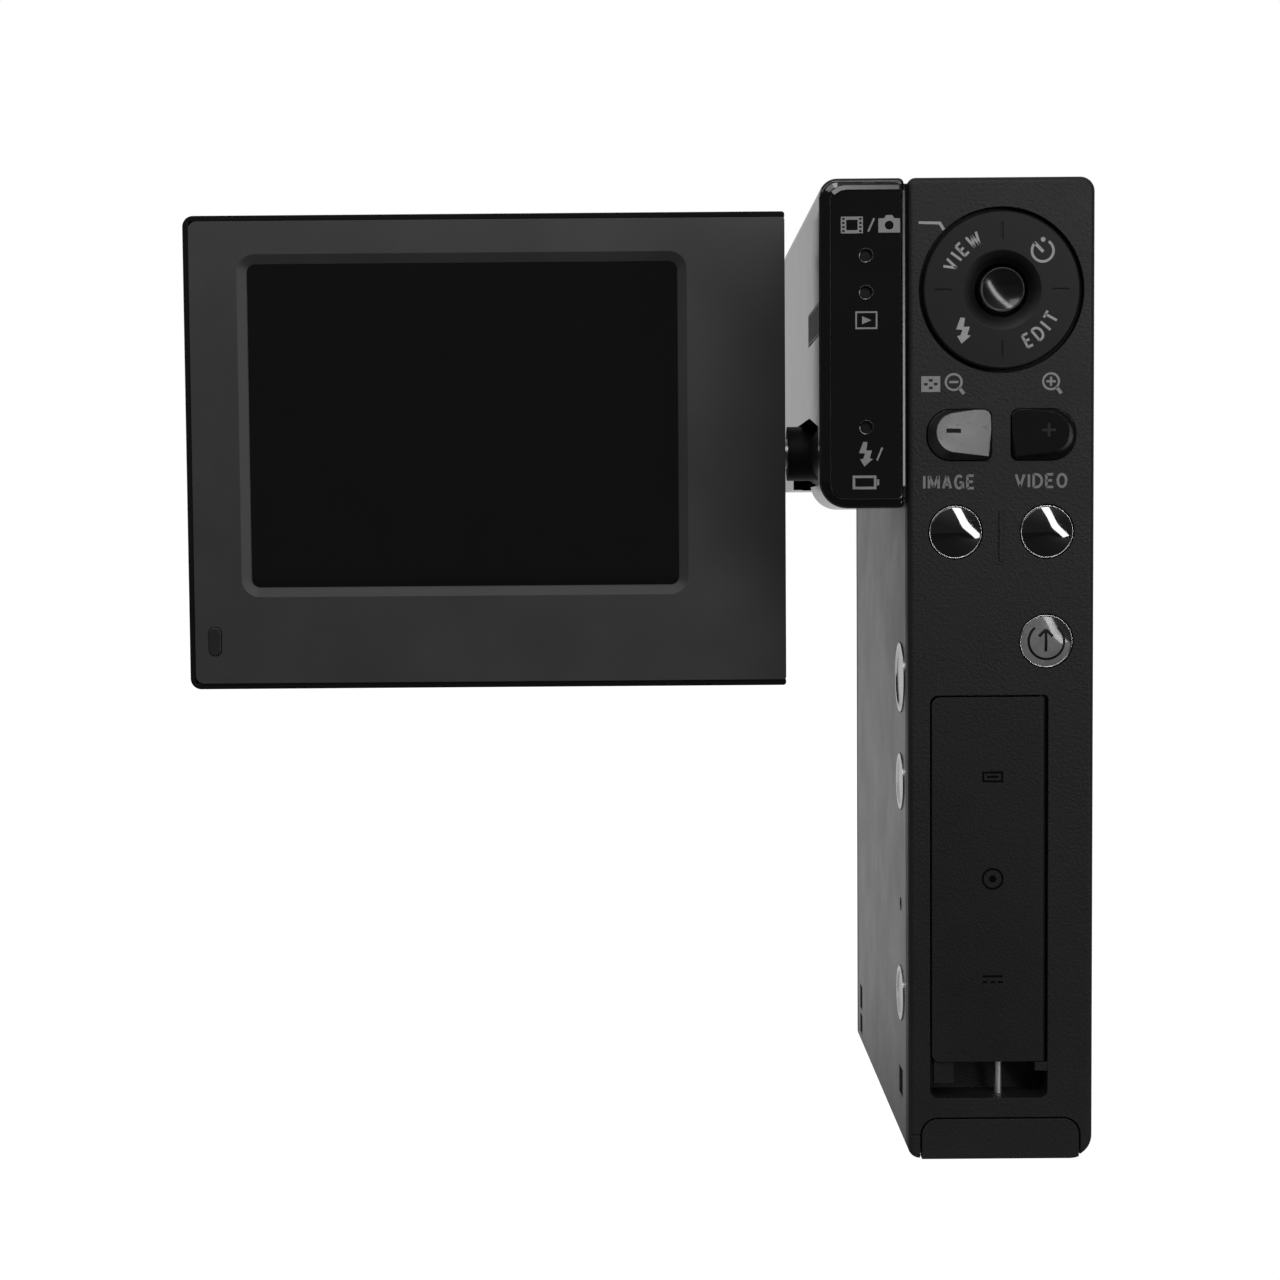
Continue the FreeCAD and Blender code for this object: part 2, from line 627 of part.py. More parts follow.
def bottom_openings():
    """The tripod bush, the battery door and its pegs, cut from both casings."""
    bush = rod("Z", ("0", "0", "-wall"), "bush_radius + slack", "3 * wall")
    door = box(
        ("-door_wide / 2 - slack", "rear_face", "-wall"),
        ("door_wide + 2 * slack", "door_axis_y - rear_face + door_thick / 2 + 2 * slack", "3 * wall"),
    )
    reach = "door_wide / 2 + door_peg_long + slack"
    pegs = rod(
        "X", ("-(%s)" % reach, "door_axis_y", "door_thick / 2"), "door_peg + slack", "2 * (%s)" % reach
    )
    return [bush, door, pegs]


def left_posts():
    posts = []
    for y, z in SCREW_POSTS:
        post = rod(
            "X", ("-grip_width / 2 + wall / 2", y, z), "post_radius", "grip_width / 2 - wall / 2 + post_split"
        )
        hole = rod("X", ("grip_width / 2 - pocket_deep - screw_long", y, z), "screw_radius", "screw_long")
        posts.append(take(post, hole))
    return posts


def right_posts():
    posts = []
    for y, z in SCREW_POSTS:
        start = "post_split + slack"
        posts.append(rod("X", (start, y, z), "post_radius", "grip_width / 2 - wall / 2 - (%s)" % start))
    return posts


def left_casing(tube):
    shell = overlap(tube, half_space(-1))
    face = "-grip_width / 2 - wall"
    holes = bottom_openings()
    for key in ("power", "playback", "display"):
        holes.append(rod("X", (face, "side_y", key + "_z"), key + "_radius", "3 * wall"))
    holes.append(rod("X", (face, "side_y", "reset_z"), "reset_radius", "wall + pocket_deep"))
    holes.append(
        box((face, "side_y - slot_wide / 2", "slot_z"), ("wall + pocket_deep", "slot_wide", "slot_high"))
    )
    for low, high in (("catch_low_z", "catch_low_high"), ("catch_high_z", "catch_high_high")):
        holes.append(box((face, "catch_y", low), ("wall + pocket_deep", "catch_wide", high)))
    node("left_casing", join(take(shell, *holes), *left_posts()))


def right_casing(tube):
    shell = join(overlap(tube, half_space(1)), *right_posts())
    holes = bottom_openings()
    for y, z in SCREW_POSTS:
        holes.append(rod("X", ("0", y, z), "screw_hole", "grip_width"))
        holes.append(rod("X", ("grip_width / 2 - pocket_deep", y, z), "screw_sink", "wall"))
    node("right_casing", take(shell, *holes))


def front_cover():
    body = grip_slab("front_plate", "front_face - front_thick", "front_thick")
    front = amount("front_face")
    fillet_where(body, "edge_round", lambda edge: flat_at(edge.YMin, edge.YMax, front))
    holes = [
        rod("Y", ("0", "front_face - 2 * front_thick", "lens_z"), "ring_outer + slack", "3 * front_thick")
    ]
    for side in ("-mic_x", "mic_x"):
        holes.append(rod("Y", (side, "front_face - 2 * front_thick", "mic_z"), "mic_hole", "3 * front_thick"))
    node("front_cover", take(body, *holes))


def key_opening(side):
    """The opening of a zoom key: square towards the middle, round on its outer end."""
    return zoom_shape(side, "rear_face - wall", "3 * rear_thick", "0")


def zoom_shape(side, start, thick, inset):
    low = "zoom_z - zoom_high / 2 + %s" % inset
    left = "%d * zoom_x - zoom_wide / 2 + %s" % (side, inset)
    outer, inner = "zoom_round - %s" % inset, "jack_round - %s / 2" % inset
    rounds = (outer, inner, inner, outer) if side < 0 else (inner, outer, outer, inner)
    size = ("zoom_wide - 2 * (%s)" % inset, "zoom_high - 2 * (%s)" % inset)
    return slab_xz("zoom_outline", (left, start, low), size[0], size[1], thick, rounds)


def strap_cup():
    return box(
        ("jack_left - strap_wall", "rear_face + rear_thick / 2", "strap_low - strap_wall"),
        (
            "jack_right - jack_left + 2 * strap_wall",
            "strap_deep + strap_wall - rear_thick / 2",
            "jack_low - strap_low + 2 * strap_wall",
        ),
    )


def jack_recess():
    return slab_xz(
        "jack_recess",
        ("jack_left", "rear_face - wall", "strap_low"),
        "jack_right - jack_left",
        "jack_top - strap_low",
        "wall + jack_deep",
        ("jack_round", "jack_round", "jack_round_hinge", "jack_round"),
    )


JACK_AXIS_X = "jack_right - jack_gap - jack_thick / 2"
JACK_AXIS_Y = "rear_face + jack_thick / 2"


def rear_cover():
    body = grip_slab("rear_plate", "rear_face", "rear_thick")
    rear = amount("rear_face")
    fillet_where(body, "edge_round", lambda edge: flat_at(edge.YMin, edge.YMax, rear))
    ridge = box(
        ("-ridge_wide / 2", "rear_face - ridge_proud", "ridge_low"),
        ("ridge_wide", "ridge_proud + wall", "ridge_high"),
    )
    through = ("rear_face - wall", "3 * rear_thick")
    holes = [
        rod("Y", ("0", "rear_face - wall", "dial_z"), "well_radius", "wall + well_deep"),
        rod("Y", ("0", through[0], "dial_z"), "gimbal_hole", through[1]),
        key_opening(-1),
        key_opening(1),
        rod("Y", ("-take_x", through[0], "take_z"), "take_radius", through[1]),
        rod("Y", ("take_x", through[0], "take_z"), "take_radius", through[1]),
        rod("Y", ("share_x", through[0], "share_z"), "take_radius", through[1]),
        jack_recess(),
        slab_xz(
            "strap_recess",
            ("jack_left", "rear_face", "strap_low"),
            "jack_right - jack_left",
            "jack_low - strap_low",
            "strap_deep",
            ("jack_round", "jack_round", "round_inside / 6", "round_inside / 6"),
        ),
        tongue_outline("tongue_gap", "tongue_air", "3 * rear_thick"),
        box(
            ("-grip_width / 2 - wall", "rear_face - wall", "seam_z"),
            ("grip_width / 2 + wall - tongue_wide / 2", "wall + seam_deep", "seam_high"),
        ),
        rod(
            "Z",
            ("strap_x", "rear_face + strap_drop", "strap_low - strap_sunk"),
            "strap_radius",
            "jack_low - strap_low + 2 * strap_sunk",
        ),
        rod(
            "Z",
            (JACK_AXIS_X, JACK_AXIS_Y, "jack_low - peg_long"),
            "jack_peg + slack",
            "jack_top - jack_low + 2 * peg_long",
        ),
        rod(
            "Z",
            (JACK_AXIS_X, JACK_AXIS_Y, "jack_low"),
            "jack_thick / 2 + jack_gap",
            "jack_top - jack_low - slack",
        ),
        socket_mouth("usb_z", "usb_wide", "usb_high"),
        socket_mouth("av_z", "round_jack", "round_jack"),
        socket_mouth("dc_z", "round_jack", "round_jack"),
    ]
    holes.extend(gimbal_seats())
    cup = take(join(body, ridge, strap_cup()), *holes)
    node("rear_cover", join(cup, jack_lug()))


def socket_mouth(height, wide, high):
    return box(
        ("jack_x - %s / 2 - slack" % wide, "rear_face", "%s - %s / 2 - slack" % (height, high)),
        ("%s + 2 * slack" % wide, "2 * rear_thick", "%s + 2 * slack" % high),
    )


def jack_lug():
    """The lug in the right end of the strap recess that carries the lower hinge peg."""
    lug = box(
        (JACK_AXIS_X + " - jack_thick / 2", "rear_face + slack", "jack_low - jack_gap / 2 - lug_high"),
        ("jack_thick + jack_gap", "jack_deep + rear_thick", "lug_high"),
    )
    hole = rod(
        "Z",
        (JACK_AXIS_X, JACK_AXIS_Y, "jack_low - jack_gap / 2 - peg_long - slack"),
        "jack_peg + slack",
        "lug_high",
    )
    return take(lug, hole)


def gimbal_seats():
    """Two open seats in the rear cover for the outer pins of the selector's gimbal."""
    reach = "gimbal_hole + 3 * gimbal_pin"
    start = "rear_face + gimbal_drop - gimbal_pin - slack"
    bar = box(
        ("-(%s)" % reach, start, "dial_z - gimbal_pin - slack"),
        ("2 * (%s)" % reach, "rear_thick", "2 * gimbal_pin + 2 * slack"),
    )
    return [turned(bar, (0, 1, 0), 45, ("0", "rear_face", "dial_z"))]


def tongue_outline(name, grow, thick):
    """The battery door's tongue seen from behind, or its gap when grown."""
    rounds = ("round_inside", "round_inside", "tongue_round + %s" % grow, "tongue_round + %s" % grow)
    return slab_xz(
        name,
        ("-tongue_wide / 2 - %s" % grow, "rear_face" if grow == "0" else "rear_face - wall", "-tongue_high"),
        "tongue_wide + 2 * %s" % grow,
        "2 * tongue_high + %s" % grow,
        thick,
        rounds,
    )


# ---- head block ----------------------------------------------------------------------------------------


def head_face():
    """The raised rear face of the head block, with a border that slopes away on every side."""
    corner = ("head_left + face_inset", "rear_face + face_rise", "head_bottom + face_inset")
    body = new_body("head_face", corner)
    rounds = ("head_round_low - face_inset", "face_round", "face_round", "head_round_top - face_inset")
    wide = "-grip_width / 2 - head_seam - head_left - face_inset - face_inset_right"
    sketch = outline(sketch_on(body, "XZ_Plane"), wide, "grip_height - head_bottom - 2 * face_inset", rounds)
    face = pad(body, sketch, "face_rise")
    face.TaperAngle = -math.degrees(math.atan2(amount("face_border"), amount("face_rise")))
    return body


def head_cover():
    body = slab_xz(
        "head_block",
        ("head_left", "rear_face + face_rise", "head_bottom"),
        "-grip_width / 2 - head_seam - head_left",
        "grip_height - head_bottom",
        "front_face - rear_face - face_rise",
        ("head_round_low", "head_round_right", "head_round_right", "head_round_top"),
    )
    ends = (amount("rear_face + face_rise"), amount("front_face"))
    fillet_where(body, "head_rim", lambda edge: any(flat_at(edge.YMin, edge.YMax, end) for end in ends))
    lip = box(
        ("-grip_width / 2 - 2 * head_seam", "rear_face + head_seam_deep", "head_bottom + head_seam_deep"),
        (
            "2 * head_seam",
            "front_face - rear_face - 2 * head_seam_deep",
            "grip_height - head_bottom - 2 * head_seam_deep",
        ),
    )
    hollow = box(
        ("head_left + wall", "rear_face + head_rear_wall", "head_bottom + step_high + wall"),
        (
            "-head_left",
            "front_face - rear_face - head_rear_wall - wall",
            "grip_height - head_bottom - step_high - 2 * wall",
        ),
    )
    holes = [hollow, panel_outline("panel_seat", "slack", "wall"), flash_opening(), speaker_groove()]
    holes.extend(hinge_openings())
    for height in ("light_top", "light_middle", "light_low"):
        holes.append(rod("Y", ("light_x", "rear_face", height), "light_radius", "2 * head_rear_wall"))
    node("head_cover", take(join(body, head_face(), lip), *holes))


def panel_outline(name, grow, ahead):
    return slab_xz(
        name,
        (
            "panel_left - %s" % grow,
            "rear_face - %s" % ahead,
            "(head_bottom + grip_height - panel_height) / 2 - %s" % grow,
        ),
        "panel_width + 2 * %s" % grow,
        "panel_height + 2 * %s" % grow,
        "panel_thick + %s + %s" % (ahead, grow),
        ("panel_round", "head_round_right", "head_round_right", "panel_round"),
    )


def indicator_panel():
    plate = panel_outline("panel_plate", "0", "0")
    holes = []
    for height in ("light_top", "light_middle", "light_low"):
        holes.append(rod("Y", ("light_x", "rear_face - wall", height), "light_radius", "3 * wall"))
    node("indicator_panel", take(plate, *holes))


def indicator_lights():
    guides = []
    for height in ("light_top", "light_middle", "light_low"):
        guides.append(
            rod("Y", ("light_x", "rear_face + light_drop", height), "light_radius - slack / 2", "light_long")
        )
    node("indicator_lights", group(*guides))


def flash_opening():
    return box(("flash_left", "front_face - 2 * wall", "flash_low"), ("flash_wide", "3 * wall", "flash_high"))


def flash_unit():
    pane = box(
        ("flash_left + slack", "front_face - wall", "flash_low + slack"),
        ("flash_wide - 2 * slack", "wall - slack", "flash_high - 2 * slack"),
    )
    node("flash_window", pane)
    start = "front_face - wall - slack - reflector_long"
    shell = box(("flash_left", start, "flash_low"), ("flash_wide", "reflector_long", "flash_high"))
    trough = rod(
        "X",
        (
            "flash_left + reflector_wall",
            start + " + reflector_long + reflector_wall",
            "flash_low + flash_high / 2",
        ),
        "flash_high / 2 - reflector_wall",
        "flash_wide - 2 * reflector_wall",
    )
    node("flash_reflector", take(shell, trough))
    node(
        "flash_capacitor",
        rod("Y", ("light_x", "capacitor_y", "capacitor_z"), "capacitor_radius", "capacitor_long"),
    )


def speaker_groove():
    """A fine outline in the left face over the speaker."""
    low = ("head_left - wall", "speaker_mark_y", "speaker_mark_z")
    outer = box(low, ("wall + shallow", "speaker_mark_long", "speaker_mark_high"))
    inset = "shallow"
    inner = box(
        ("head_left - 2 * wall", "speaker_mark_y + " + inset, "speaker_mark_z + " + inset),
        ("4 * wall", "speaker_mark_long - 2 * " + inset, "speaker_mark_high - 2 * " + inset),
    )
    return take(outer, inner)


def speaker():
    centre_z = "speaker_mark_z + speaker_mark_high / 2"
    node(
        "speaker",
        box(
            (
                "head_left + wall + slack",
                "rear_face + head_rear_wall + light_long",
                centre_z + " - speaker_high / 2",
            ),
            ("speaker_thick", "speaker_long", "speaker_high"),
        ),
    )


def hinge_openings():
    """The mouth for the barrel in the left face, the bay behind it and the raised underside."""
    room = "(barrel_radius + barrel_room)"
    start = "rear_face + head_rear_wall"
    bottom = "hinge_z - " + room
    barrel_end = "barrel_back + barrel_long + 2 * barrel_room"
    mouth = box(
        ("head_left - wall", start, bottom),
        ("3 * wall", "%s - (%s)" % (barrel_end, start), "mouth_top - (%s)" % bottom),
    )
    above = box(
        ("head_left - 2 * wall", "mouth_bend - barrel_long", "mouth_top"),
        ("5 * wall", "barrel_long", "barrel_radius"),
    )
    slant = turned(above, (1, 0, 0), amount("mouth_slant"), ("head_left", "mouth_bend", "mouth_top"))
    cradle = rod(
        "Y",
        ("fold_x", "barrel_back - 2 * barrel_room", "hinge_z"),
        room,
        "barrel_long + 4 * barrel_room",
    )
    ears_end = "barrel_back + barrel_long + ear_gap + ear_thick + 2 * barrel_room"
    bay = box(
        ("head_left + wall", start, bottom),
        ("-head_left", ears_end + " - (%s)" % start, "2 * wall"),
    )
    underside = box(
        ("head_left - wall", "step_start", "head_bottom - wall"),
        ("wall - head_left", "front_face - step_start + wall", "wall + step_high"),
    )
    return [take(mouth, slant), cradle, bay, underside]


def hinge_bracket():
    back = "barrel_back - ear_gap - ear_thick"
    long = "barrel_long + 2 * ear_gap + 2 * ear_thick"
    right = "-grip_width / 2 - slack"
    plate = box(
        (right + " - bracket_plate", back, "hinge_z - barrel_radius"),
        ("bracket_plate", long, "2 * barrel_radius"),
    )
    ears = []
    for start in (back, "barrel_back + barrel_long + ear_gap"):
        ears.append(
            box(
                ("fold_x - 2 * axle_radius", start, "hinge_z - 2 * axle_radius"),
                (right + " - fold_x + 2 * axle_radius", "ear_thick", "4 * axle_radius"),
            )
        )
    hole = rod("Y", ("fold_x", back + " - slack", "hinge_z"), "axle_radius", long + " + 2 * slack")
    node("hinge_bracket", take(join(plate, *ears), hole))
    node("fold_axle", rod("Y", ("fold_x", back, "hinge_z"), "axle_radius", long))


def hinge_barrel():
    barrel = rod("Y", ("fold_x", "barrel_back", "hinge_z"), "barrel_radius", "barrel_long")
    boss = rod(
        "X", ("fold_x - lcd_near + boss_gap", "swivel_y", "hinge_z"), "boss_radius", "lcd_near - boss_gap"
    )
    bore = rod(
        "Y", ("fold_x", "barrel_back - wall", "hinge_z"), "axle_radius + axle_run", "barrel_long + 2 * wall"
    )
    seat = rod(
        "X", ("fold_x - lcd_near - wall", "swivel_y", "hinge_z"), "shaft_radius", SHAFT_INSIDE + " + wall"
    )
    node("hinge_barrel", take(join(barrel, boss), bore, seat))


# The swivel shaft from the monitor's hinge edge to its end in the barrel.
SHAFT_INSIDE = "lcd_near - axle_radius - wall / 2"


def swivel_shaft():
    """Pressed into the barrel; the monitor turns on it and its collar holds the monitor on."""
    free_end = "fold_x - lcd_near + (%s) - shaft_long" % SHAFT_INSIDE
    shaft = rod("X", (free_end, "swivel_y", "hinge_z"), "shaft_radius", "shaft_long")
    collar = rod("X", (free_end, "swivel_y", "hinge_z"), "collar_radius", "collar_thick")
    node("swivel_shaft", join(shaft, collar))


# ---- monitor -------------------------------------------------------------------------------------------

LCD_LEFT = "fold_x - lcd_near - lcd_long"
LCD_LOW = "hinge_z + lcd_lift - lcd_high / 2"
LCD_FACE = "swivel_y - lcd_thick / 2"
LCD_BACK = "swivel_y + lcd_thick / 2"
BEZEL_BACK = LCD_FACE + " + bezel_thick"


def lcd_back_cover():
    body = slab_xz(
        "monitor_tray",
        (LCD_LEFT, LCD_FACE + " + bezel_proud", LCD_LOW),
        "lcd_long",
        "lcd_high",
        "lcd_thick - bezel_proud",
        ("lcd_round", "lcd_square", "lcd_square", "lcd_round"),
    )
    back = amount(LCD_BACK)
    near, inset = amount("fold_x - lcd_near"), amount("lcd_back_round")
    fillet_where(
        body, "lcd_back_round", lambda edge: flat_at(edge.YMin, edge.YMax, back) and edge.XMin < near - inset
    )
    cavity = box(
        (LCD_LEFT + " + lcd_rim", BEZEL_BACK, LCD_LOW + " + lcd_rim"),
        ("lcd_long - lcd_rim - wall", "lcd_thick - bezel_thick - wall", "lcd_high - 2 * lcd_rim"),
    )
    seat = box(
        (LCD_LEFT + " + lcd_rim", LCD_FACE, LCD_LOW + " + lcd_rim"),
        ("lcd_long", "bezel_thick", "lcd_high - 2 * lcd_rim"),
    )
    block = box(
        (
            "fold_x - lcd_near - wall - shaft_block_long",
            BEZEL_BACK + " + slack",
            "hinge_z - shaft_block_high / 2",
        ),
        ("shaft_block_long + wall / 2", "lcd_thick - bezel_thick - wall / 2", "shaft_block_high"),
    )
    reach = "shaft_block_long + 2 * wall"
    bore = rod(
        "X",
        ("fold_x - lcd_near - wall - (%s)" % reach, "swivel_y", "hinge_z"),
        "shaft_radius + axle_run",
        "2 * (%s)" % reach,
    )
    shell = join(take(body, cavity, seat), block)
    node("lcd_back_cover", take(shell, bore, *monitor_screw_holes()))


def monitor_screw_holes():
    holes = []
    for height in ("hinge_z - lcd_screw_offset", "hinge_z + lcd_screw_offset"):
        start = "fold_x - lcd_near"
        holes.append(
            rod(
                "X",
                (start + " - lcd_screw_head / 2 - slack", "swivel_y", height),
                "lcd_screw_head + slack",
                "wall",
            ),
        )
        holes.append(
            rod(
                "X",
                (start + " - 2 * lcd_screw_long", "swivel_y", height),
                "lcd_screw_radius",
                "2 * lcd_screw_long",
            )
        )
    return holes


def lcd_screws():
    screws = []
    for height in ("hinge_z - lcd_screw_offset", "hinge_z + lcd_screw_offset"):
        end = "fold_x - lcd_near - slack"
        head = rod(
            "X", (end + " - lcd_screw_head / 2", "swivel_y", height), "lcd_screw_head", "lcd_screw_head / 2"
        )
        shank = rod(
            "X",
            (end + " - lcd_screw_head / 2 - lcd_screw_long", "swivel_y", height),
            "lcd_screw_radius",
            "lcd_screw_long",
        )
        slot = box(
            (end + " - cross_deep", "swivel_y - cross_wide / 2", height + " - lcd_slot_half"),
            ("wall", "cross_wide", "2 * lcd_slot_half"),
        )
        screws.append(take(join(head, shank), slot))
    node("lcd_screws", group(*screws))


def lcd_bezel():
    body = slab_xz(
        "bezel_plate",
        (LCD_LEFT + " + lcd_rim + slack", LCD_FACE, LCD_LOW + " + lcd_rim + slack"),
        "lcd_long - lcd_rim - slack",
        "lcd_high - 2 * lcd_rim - 2 * slack",
        "bezel_thick",
        ("lcd_round - lcd_rim / 2", "lcd_square", "lcd_square", "lcd_round - lcd_rim / 2"),
    )
    window_left = LCD_LEFT + " + window_from_free"
    window_low = LCD_LOW + " + window_from_bottom"
    opening = slab_xz(
        "picture_opening",
        (window_left, LCD_FACE + " - wall", window_low),
        "window_wide",
        "window_high",
        "bezel_thick + 2 * wall",
        even("window_round"),
    )
    bevel = picture_bevel(window_left, window_low)
    rebate = box(
        (
            window_left + " - window_lap - slack",
            LCD_FACE + " + window_deep - slack / 2",
            window_low + " - window_lap - slack",
        ),
        (
            "window_wide + 2 * window_lap + 2 * slack",
            "bezel_thick",
            "window_high + 2 * window_lap + 2 * slack",
        ),
    )
    lugs = []
    for height in ("hinge_z - lcd_screw_offset", "hinge_z + lcd_screw_offset"):
        lug = box(
            (
                "fold_x - lcd_near - wall - slack - lcd_screw_long",
                BEZEL_BACK + " - wall / 2",
                height + " - wall",
            ),
            ("lcd_screw_long", "lcd_thick / 2 - bezel_thick + 2 * wall", "2 * wall"),
        )
        hole = rod(
            "X",
            ("fold_x - lcd_near - 3 * lcd_screw_long", "swivel_y", height),
            "lcd_screw_radius",
            "3 * lcd_screw_long",
        )
        lugs.append(take(lug, hole))
    face = take(body, opening, bevel, rebate, latch_seat())
    node("lcd_bezel", join(face, *lugs))


def picture_bevel(left, low):
    """The sloped border of the picture opening, from the window out to the bezel's face."""
    body = new_body("picture_bevel", (left, LCD_FACE + " + window_deep", low))
    sketch = outline(sketch_on(body, "XZ_Plane"), "window_wide", "window_high", even("window_round"))
    slope = pad(body, sketch, "window_deep")
    slope.TaperAngle = math.degrees(math.atan2(amount("window_bevel"), amount("window_deep")))
    return body


def lcd_glass():
    left = LCD_LEFT + " + window_from_free - window_lap"
    low = LCD_LOW + " + window_from_bottom - window_lap"
    pane = box(
        (left, LCD_FACE + " + window_deep", low),
        ("window_wide + 2 * window_lap", "bezel_thick - window_deep", "window_high + 2 * window_lap"),
    )
    node("lcd_window", pane)
    centre_x = LCD_LEFT + " + window_from_free + window_wide / 2"
    centre_z = LCD_LOW + " + window_from_bottom + window_high / 2"
    module = box(
        (centre_x + " - module_wide / 2", BEZEL_BACK + " + slack", centre_z + " - module_high / 2"),
        ("module_wide", "module_thick", "module_high"),
    )
    node("lcd_module", module)


def latch_outline(name, start, thick, grow):
    return slab_xz(
        name,
        (
            LCD_LEFT + " + stub_from_free - stub_wide / 2 - " + grow,
            start,
            LCD_LOW + " + stub_from_bottom - stub_high / 2 - " + grow,
        ),
        "stub_wide + 2 * " + grow,
        "stub_high + 2 * " + grow,
        thick,
        even("stub_round"),
    )


def latch_seat():
    return latch_outline("stub_seat", LCD_FACE + " - wall", "bezel_thick + 2 * wall", "slack")


def lcd_latch():
    body = latch_outline("stub", LCD_FACE + " - stub_proud", "bezel_thick + stub_proud", "0")
    face = amount(LCD_FACE + " - stub_proud")
    fillet_where(body, "stub_proud / 2", lambda edge: flat_at(edge.YMin, edge.YMax, face))
    node("lcd_latch", body)


# ---- selector and joystick -----------------------------------------------------------------------------


def selector_ticks():
    """Four fine grooves that part the ring's quarters."""
    grooves = []
    for turn in (0, 90, 180, 270):
        groove = box(
            ("tick_start", "rear_face - ring_top - wall", "dial_z - tick_wide / 2"),
            ("tick_long", "wall + tick_deep", "tick_wide"),
        )
        grooves.append(turned(groove, (0, 1, 0), turn, ("0", "rear_face", "dial_z")))
    return grooves


def selector_ring():
    """A four-way rocker plate with a dished middle, and the neck that carries its inner pins."""
    front, back = "rear_face - ring_top", "rear_face + ring_back"
    plate = rod("Y", ("0", front, "dial_z"), "ring_radius", "ring_top + ring_back")
    crown = cone(
        "Y",
        ("0", front, "dial_z"),
        "ring_radius - ring_bevel",
        "ring_radius - ring_bevel + 3 * ring_top",
        "3 * ring_top",
    )
    rim = rod(
        "Y", ("0", front + " + ring_bevel", "dial_z"), "ring_radius", "ring_back + ring_top - ring_bevel"
    )
    disc = overlap(plate, join(crown, rim))
    neck = rod("Y", ("0", back + " - wall / 2", "dial_z"), "neck_outer", "neck_long + wall / 2")
    dish = cone(
        "Y", ("0", front, "dial_z"), "dish_radius", "dish_floor_radius", "dish_deep"
    )
    bore = rod("Y", ("0", front, "dial_z"), "dish_floor_radius", "ring_top + ring_back + 2 * neck_long")
    hollow = rod("Y", ("0", back, "dial_z"), "neck_inner", "2 * neck_long")
    pins = []
    for side in (-1, 1):
        base = "neck_outer - gimbal_pin" if side > 0 else "-gimbal_inner - 2 * gimbal_pin"
        pin = rod(
            "X",
            (base, "rear_face + gimbal_drop", "dial_z"),
            "gimbal_pin",
            "3 * gimbal_pin + gimbal_inner - neck_outer",
        )
        pins.append(turned(pin, (0, 1, 0), -45, ("0", "rear_face", "dial_z")))
    node("selector_ring", join(take(join(disc, neck), dish, bore, hollow, *selector_ticks()), *pins))


def selector_gimbal():
    start = "rear_face + gimbal_drop - gimbal_thick / 2"
    ring = take(
        rod("Y", ("0", start, "dial_z"), "gimbal_outer", "gimbal_thick"),
        rod("Y", ("0", start + " - wall", "dial_z"), "gimbal_inner", "gimbal_thick + 2 * wall"),
    )
    reach = "gimbal_hole + 2 * gimbal_pin"
    outer = []
    for side in (-1, 1):
        base = "gimbal_outer - gimbal_pin" if side > 0 else "-(%s)" % reach
        pin = rod(
            "X",
            (base, "rear_face + gimbal_drop", "dial_z"),
            "gimbal_pin",
            "(%s) - gimbal_outer + gimbal_pin" % reach,
        )
        outer.append(turned(pin, (0, 1, 0), 45, ("0", "rear_face", "dial_z")))
    hole = rod(
        "X", ("-gimbal_hole", "rear_face + gimbal_drop", "dial_z"), "gimbal_pin + slack", "2 * gimbal_hole"
    )
    inner = turned(hole, (0, 1, 0), -45, ("0", "rear_face", "dial_z"))
    node("selector_gimbal", join(take(ring, inner), *outer))


def joystick_cap():
    """A hollowed cap on a stem; its cross pin turns in the rocker."""
    front = "rear_face - stick_top"
    cap = rod("Y", ("0", front, "dial_z"), "stick_radius", "stick_thick")
    hollow = ball(("0", front + " - stick_crown + stick_hollow", "dial_z"), "stick_crown")
    stem = rod(
        "Y",
        ("0", front + " + stick_thick - slack", "dial_z"),
        "stick_stem",
        "pivot_drop + rocker_thick / 2 + stick_top - stick_thick",
    )
    pin = rod(
        "Z", ("0", "rear_face + pivot_drop", "dial_z - rocker_half"), "pivot_pin", "2 * rocker_half"
    )
    node("joystick_cap", join(take(cap, hollow), stem, pin))


def joystick_rocker():
    start = "rear_face + pivot_drop - rocker_thick / 2"
    frame = box(
        ("-rocker_half", start, "dial_z - rocker_half"),
        ("2 * rocker_half", "rocker_thick", "2 * rocker_half"),
    )
    opening = box(
        ("-rocker_open", start + " - wall", "dial_z - rocker_open"),
        ("2 * rocker_open", "4 * wall", "2 * rocker_open"),
    )
    hole = rod(
        "Z",
        ("0", "rear_face + pivot_drop", "dial_z - 2 * rocker_half"),
        "pivot_pin + slack",
        "4 * rocker_half",
    )
    pins = []
    for base in ("-rocker_half - ear_wide - slack", "rocker_open + slack"):
        pins.append(
            rod(
                "X",
                (base, "rear_face + pivot_drop", "dial_z"),
                "pivot_pin",
                "rocker_half - rocker_open + ear_wide",
            )
        )
    node("joystick_rocker", join(take(frame, opening, hole), *pins))


def joystick_plunger():
    """The disc under the stick with two ears that hold the rocker's pins."""
    face = "rear_face + plunger_drop"
    disc = rod("Y", ("0", face, "dial_z"), "plunger_radius", "plunger_thick")
    ears = []
    for base in ("-rocker_half - 2 * slack - ear_wide", "rocker_half + 2 * slack"):
        start = "rear_face + pivot_drop - ear_wide"
        ears.append(
            box(
                (base, start, "dial_z - ear_wide"),
                ("ear_wide", face + " - (%s) + plunger_thick / 2" % start, "2 * ear_wide"),
            ),
        )
    hole = rod(
        "X",
        ("-plunger_radius", "rear_face + pivot_drop", "dial_z"),
        "pivot_pin + slack",
        "2 * plunger_radius",
    )
    node("joystick_plunger", take(join(disc, *ears), hole))


# ---- keys ----------------------------------------------------------------------------------------------


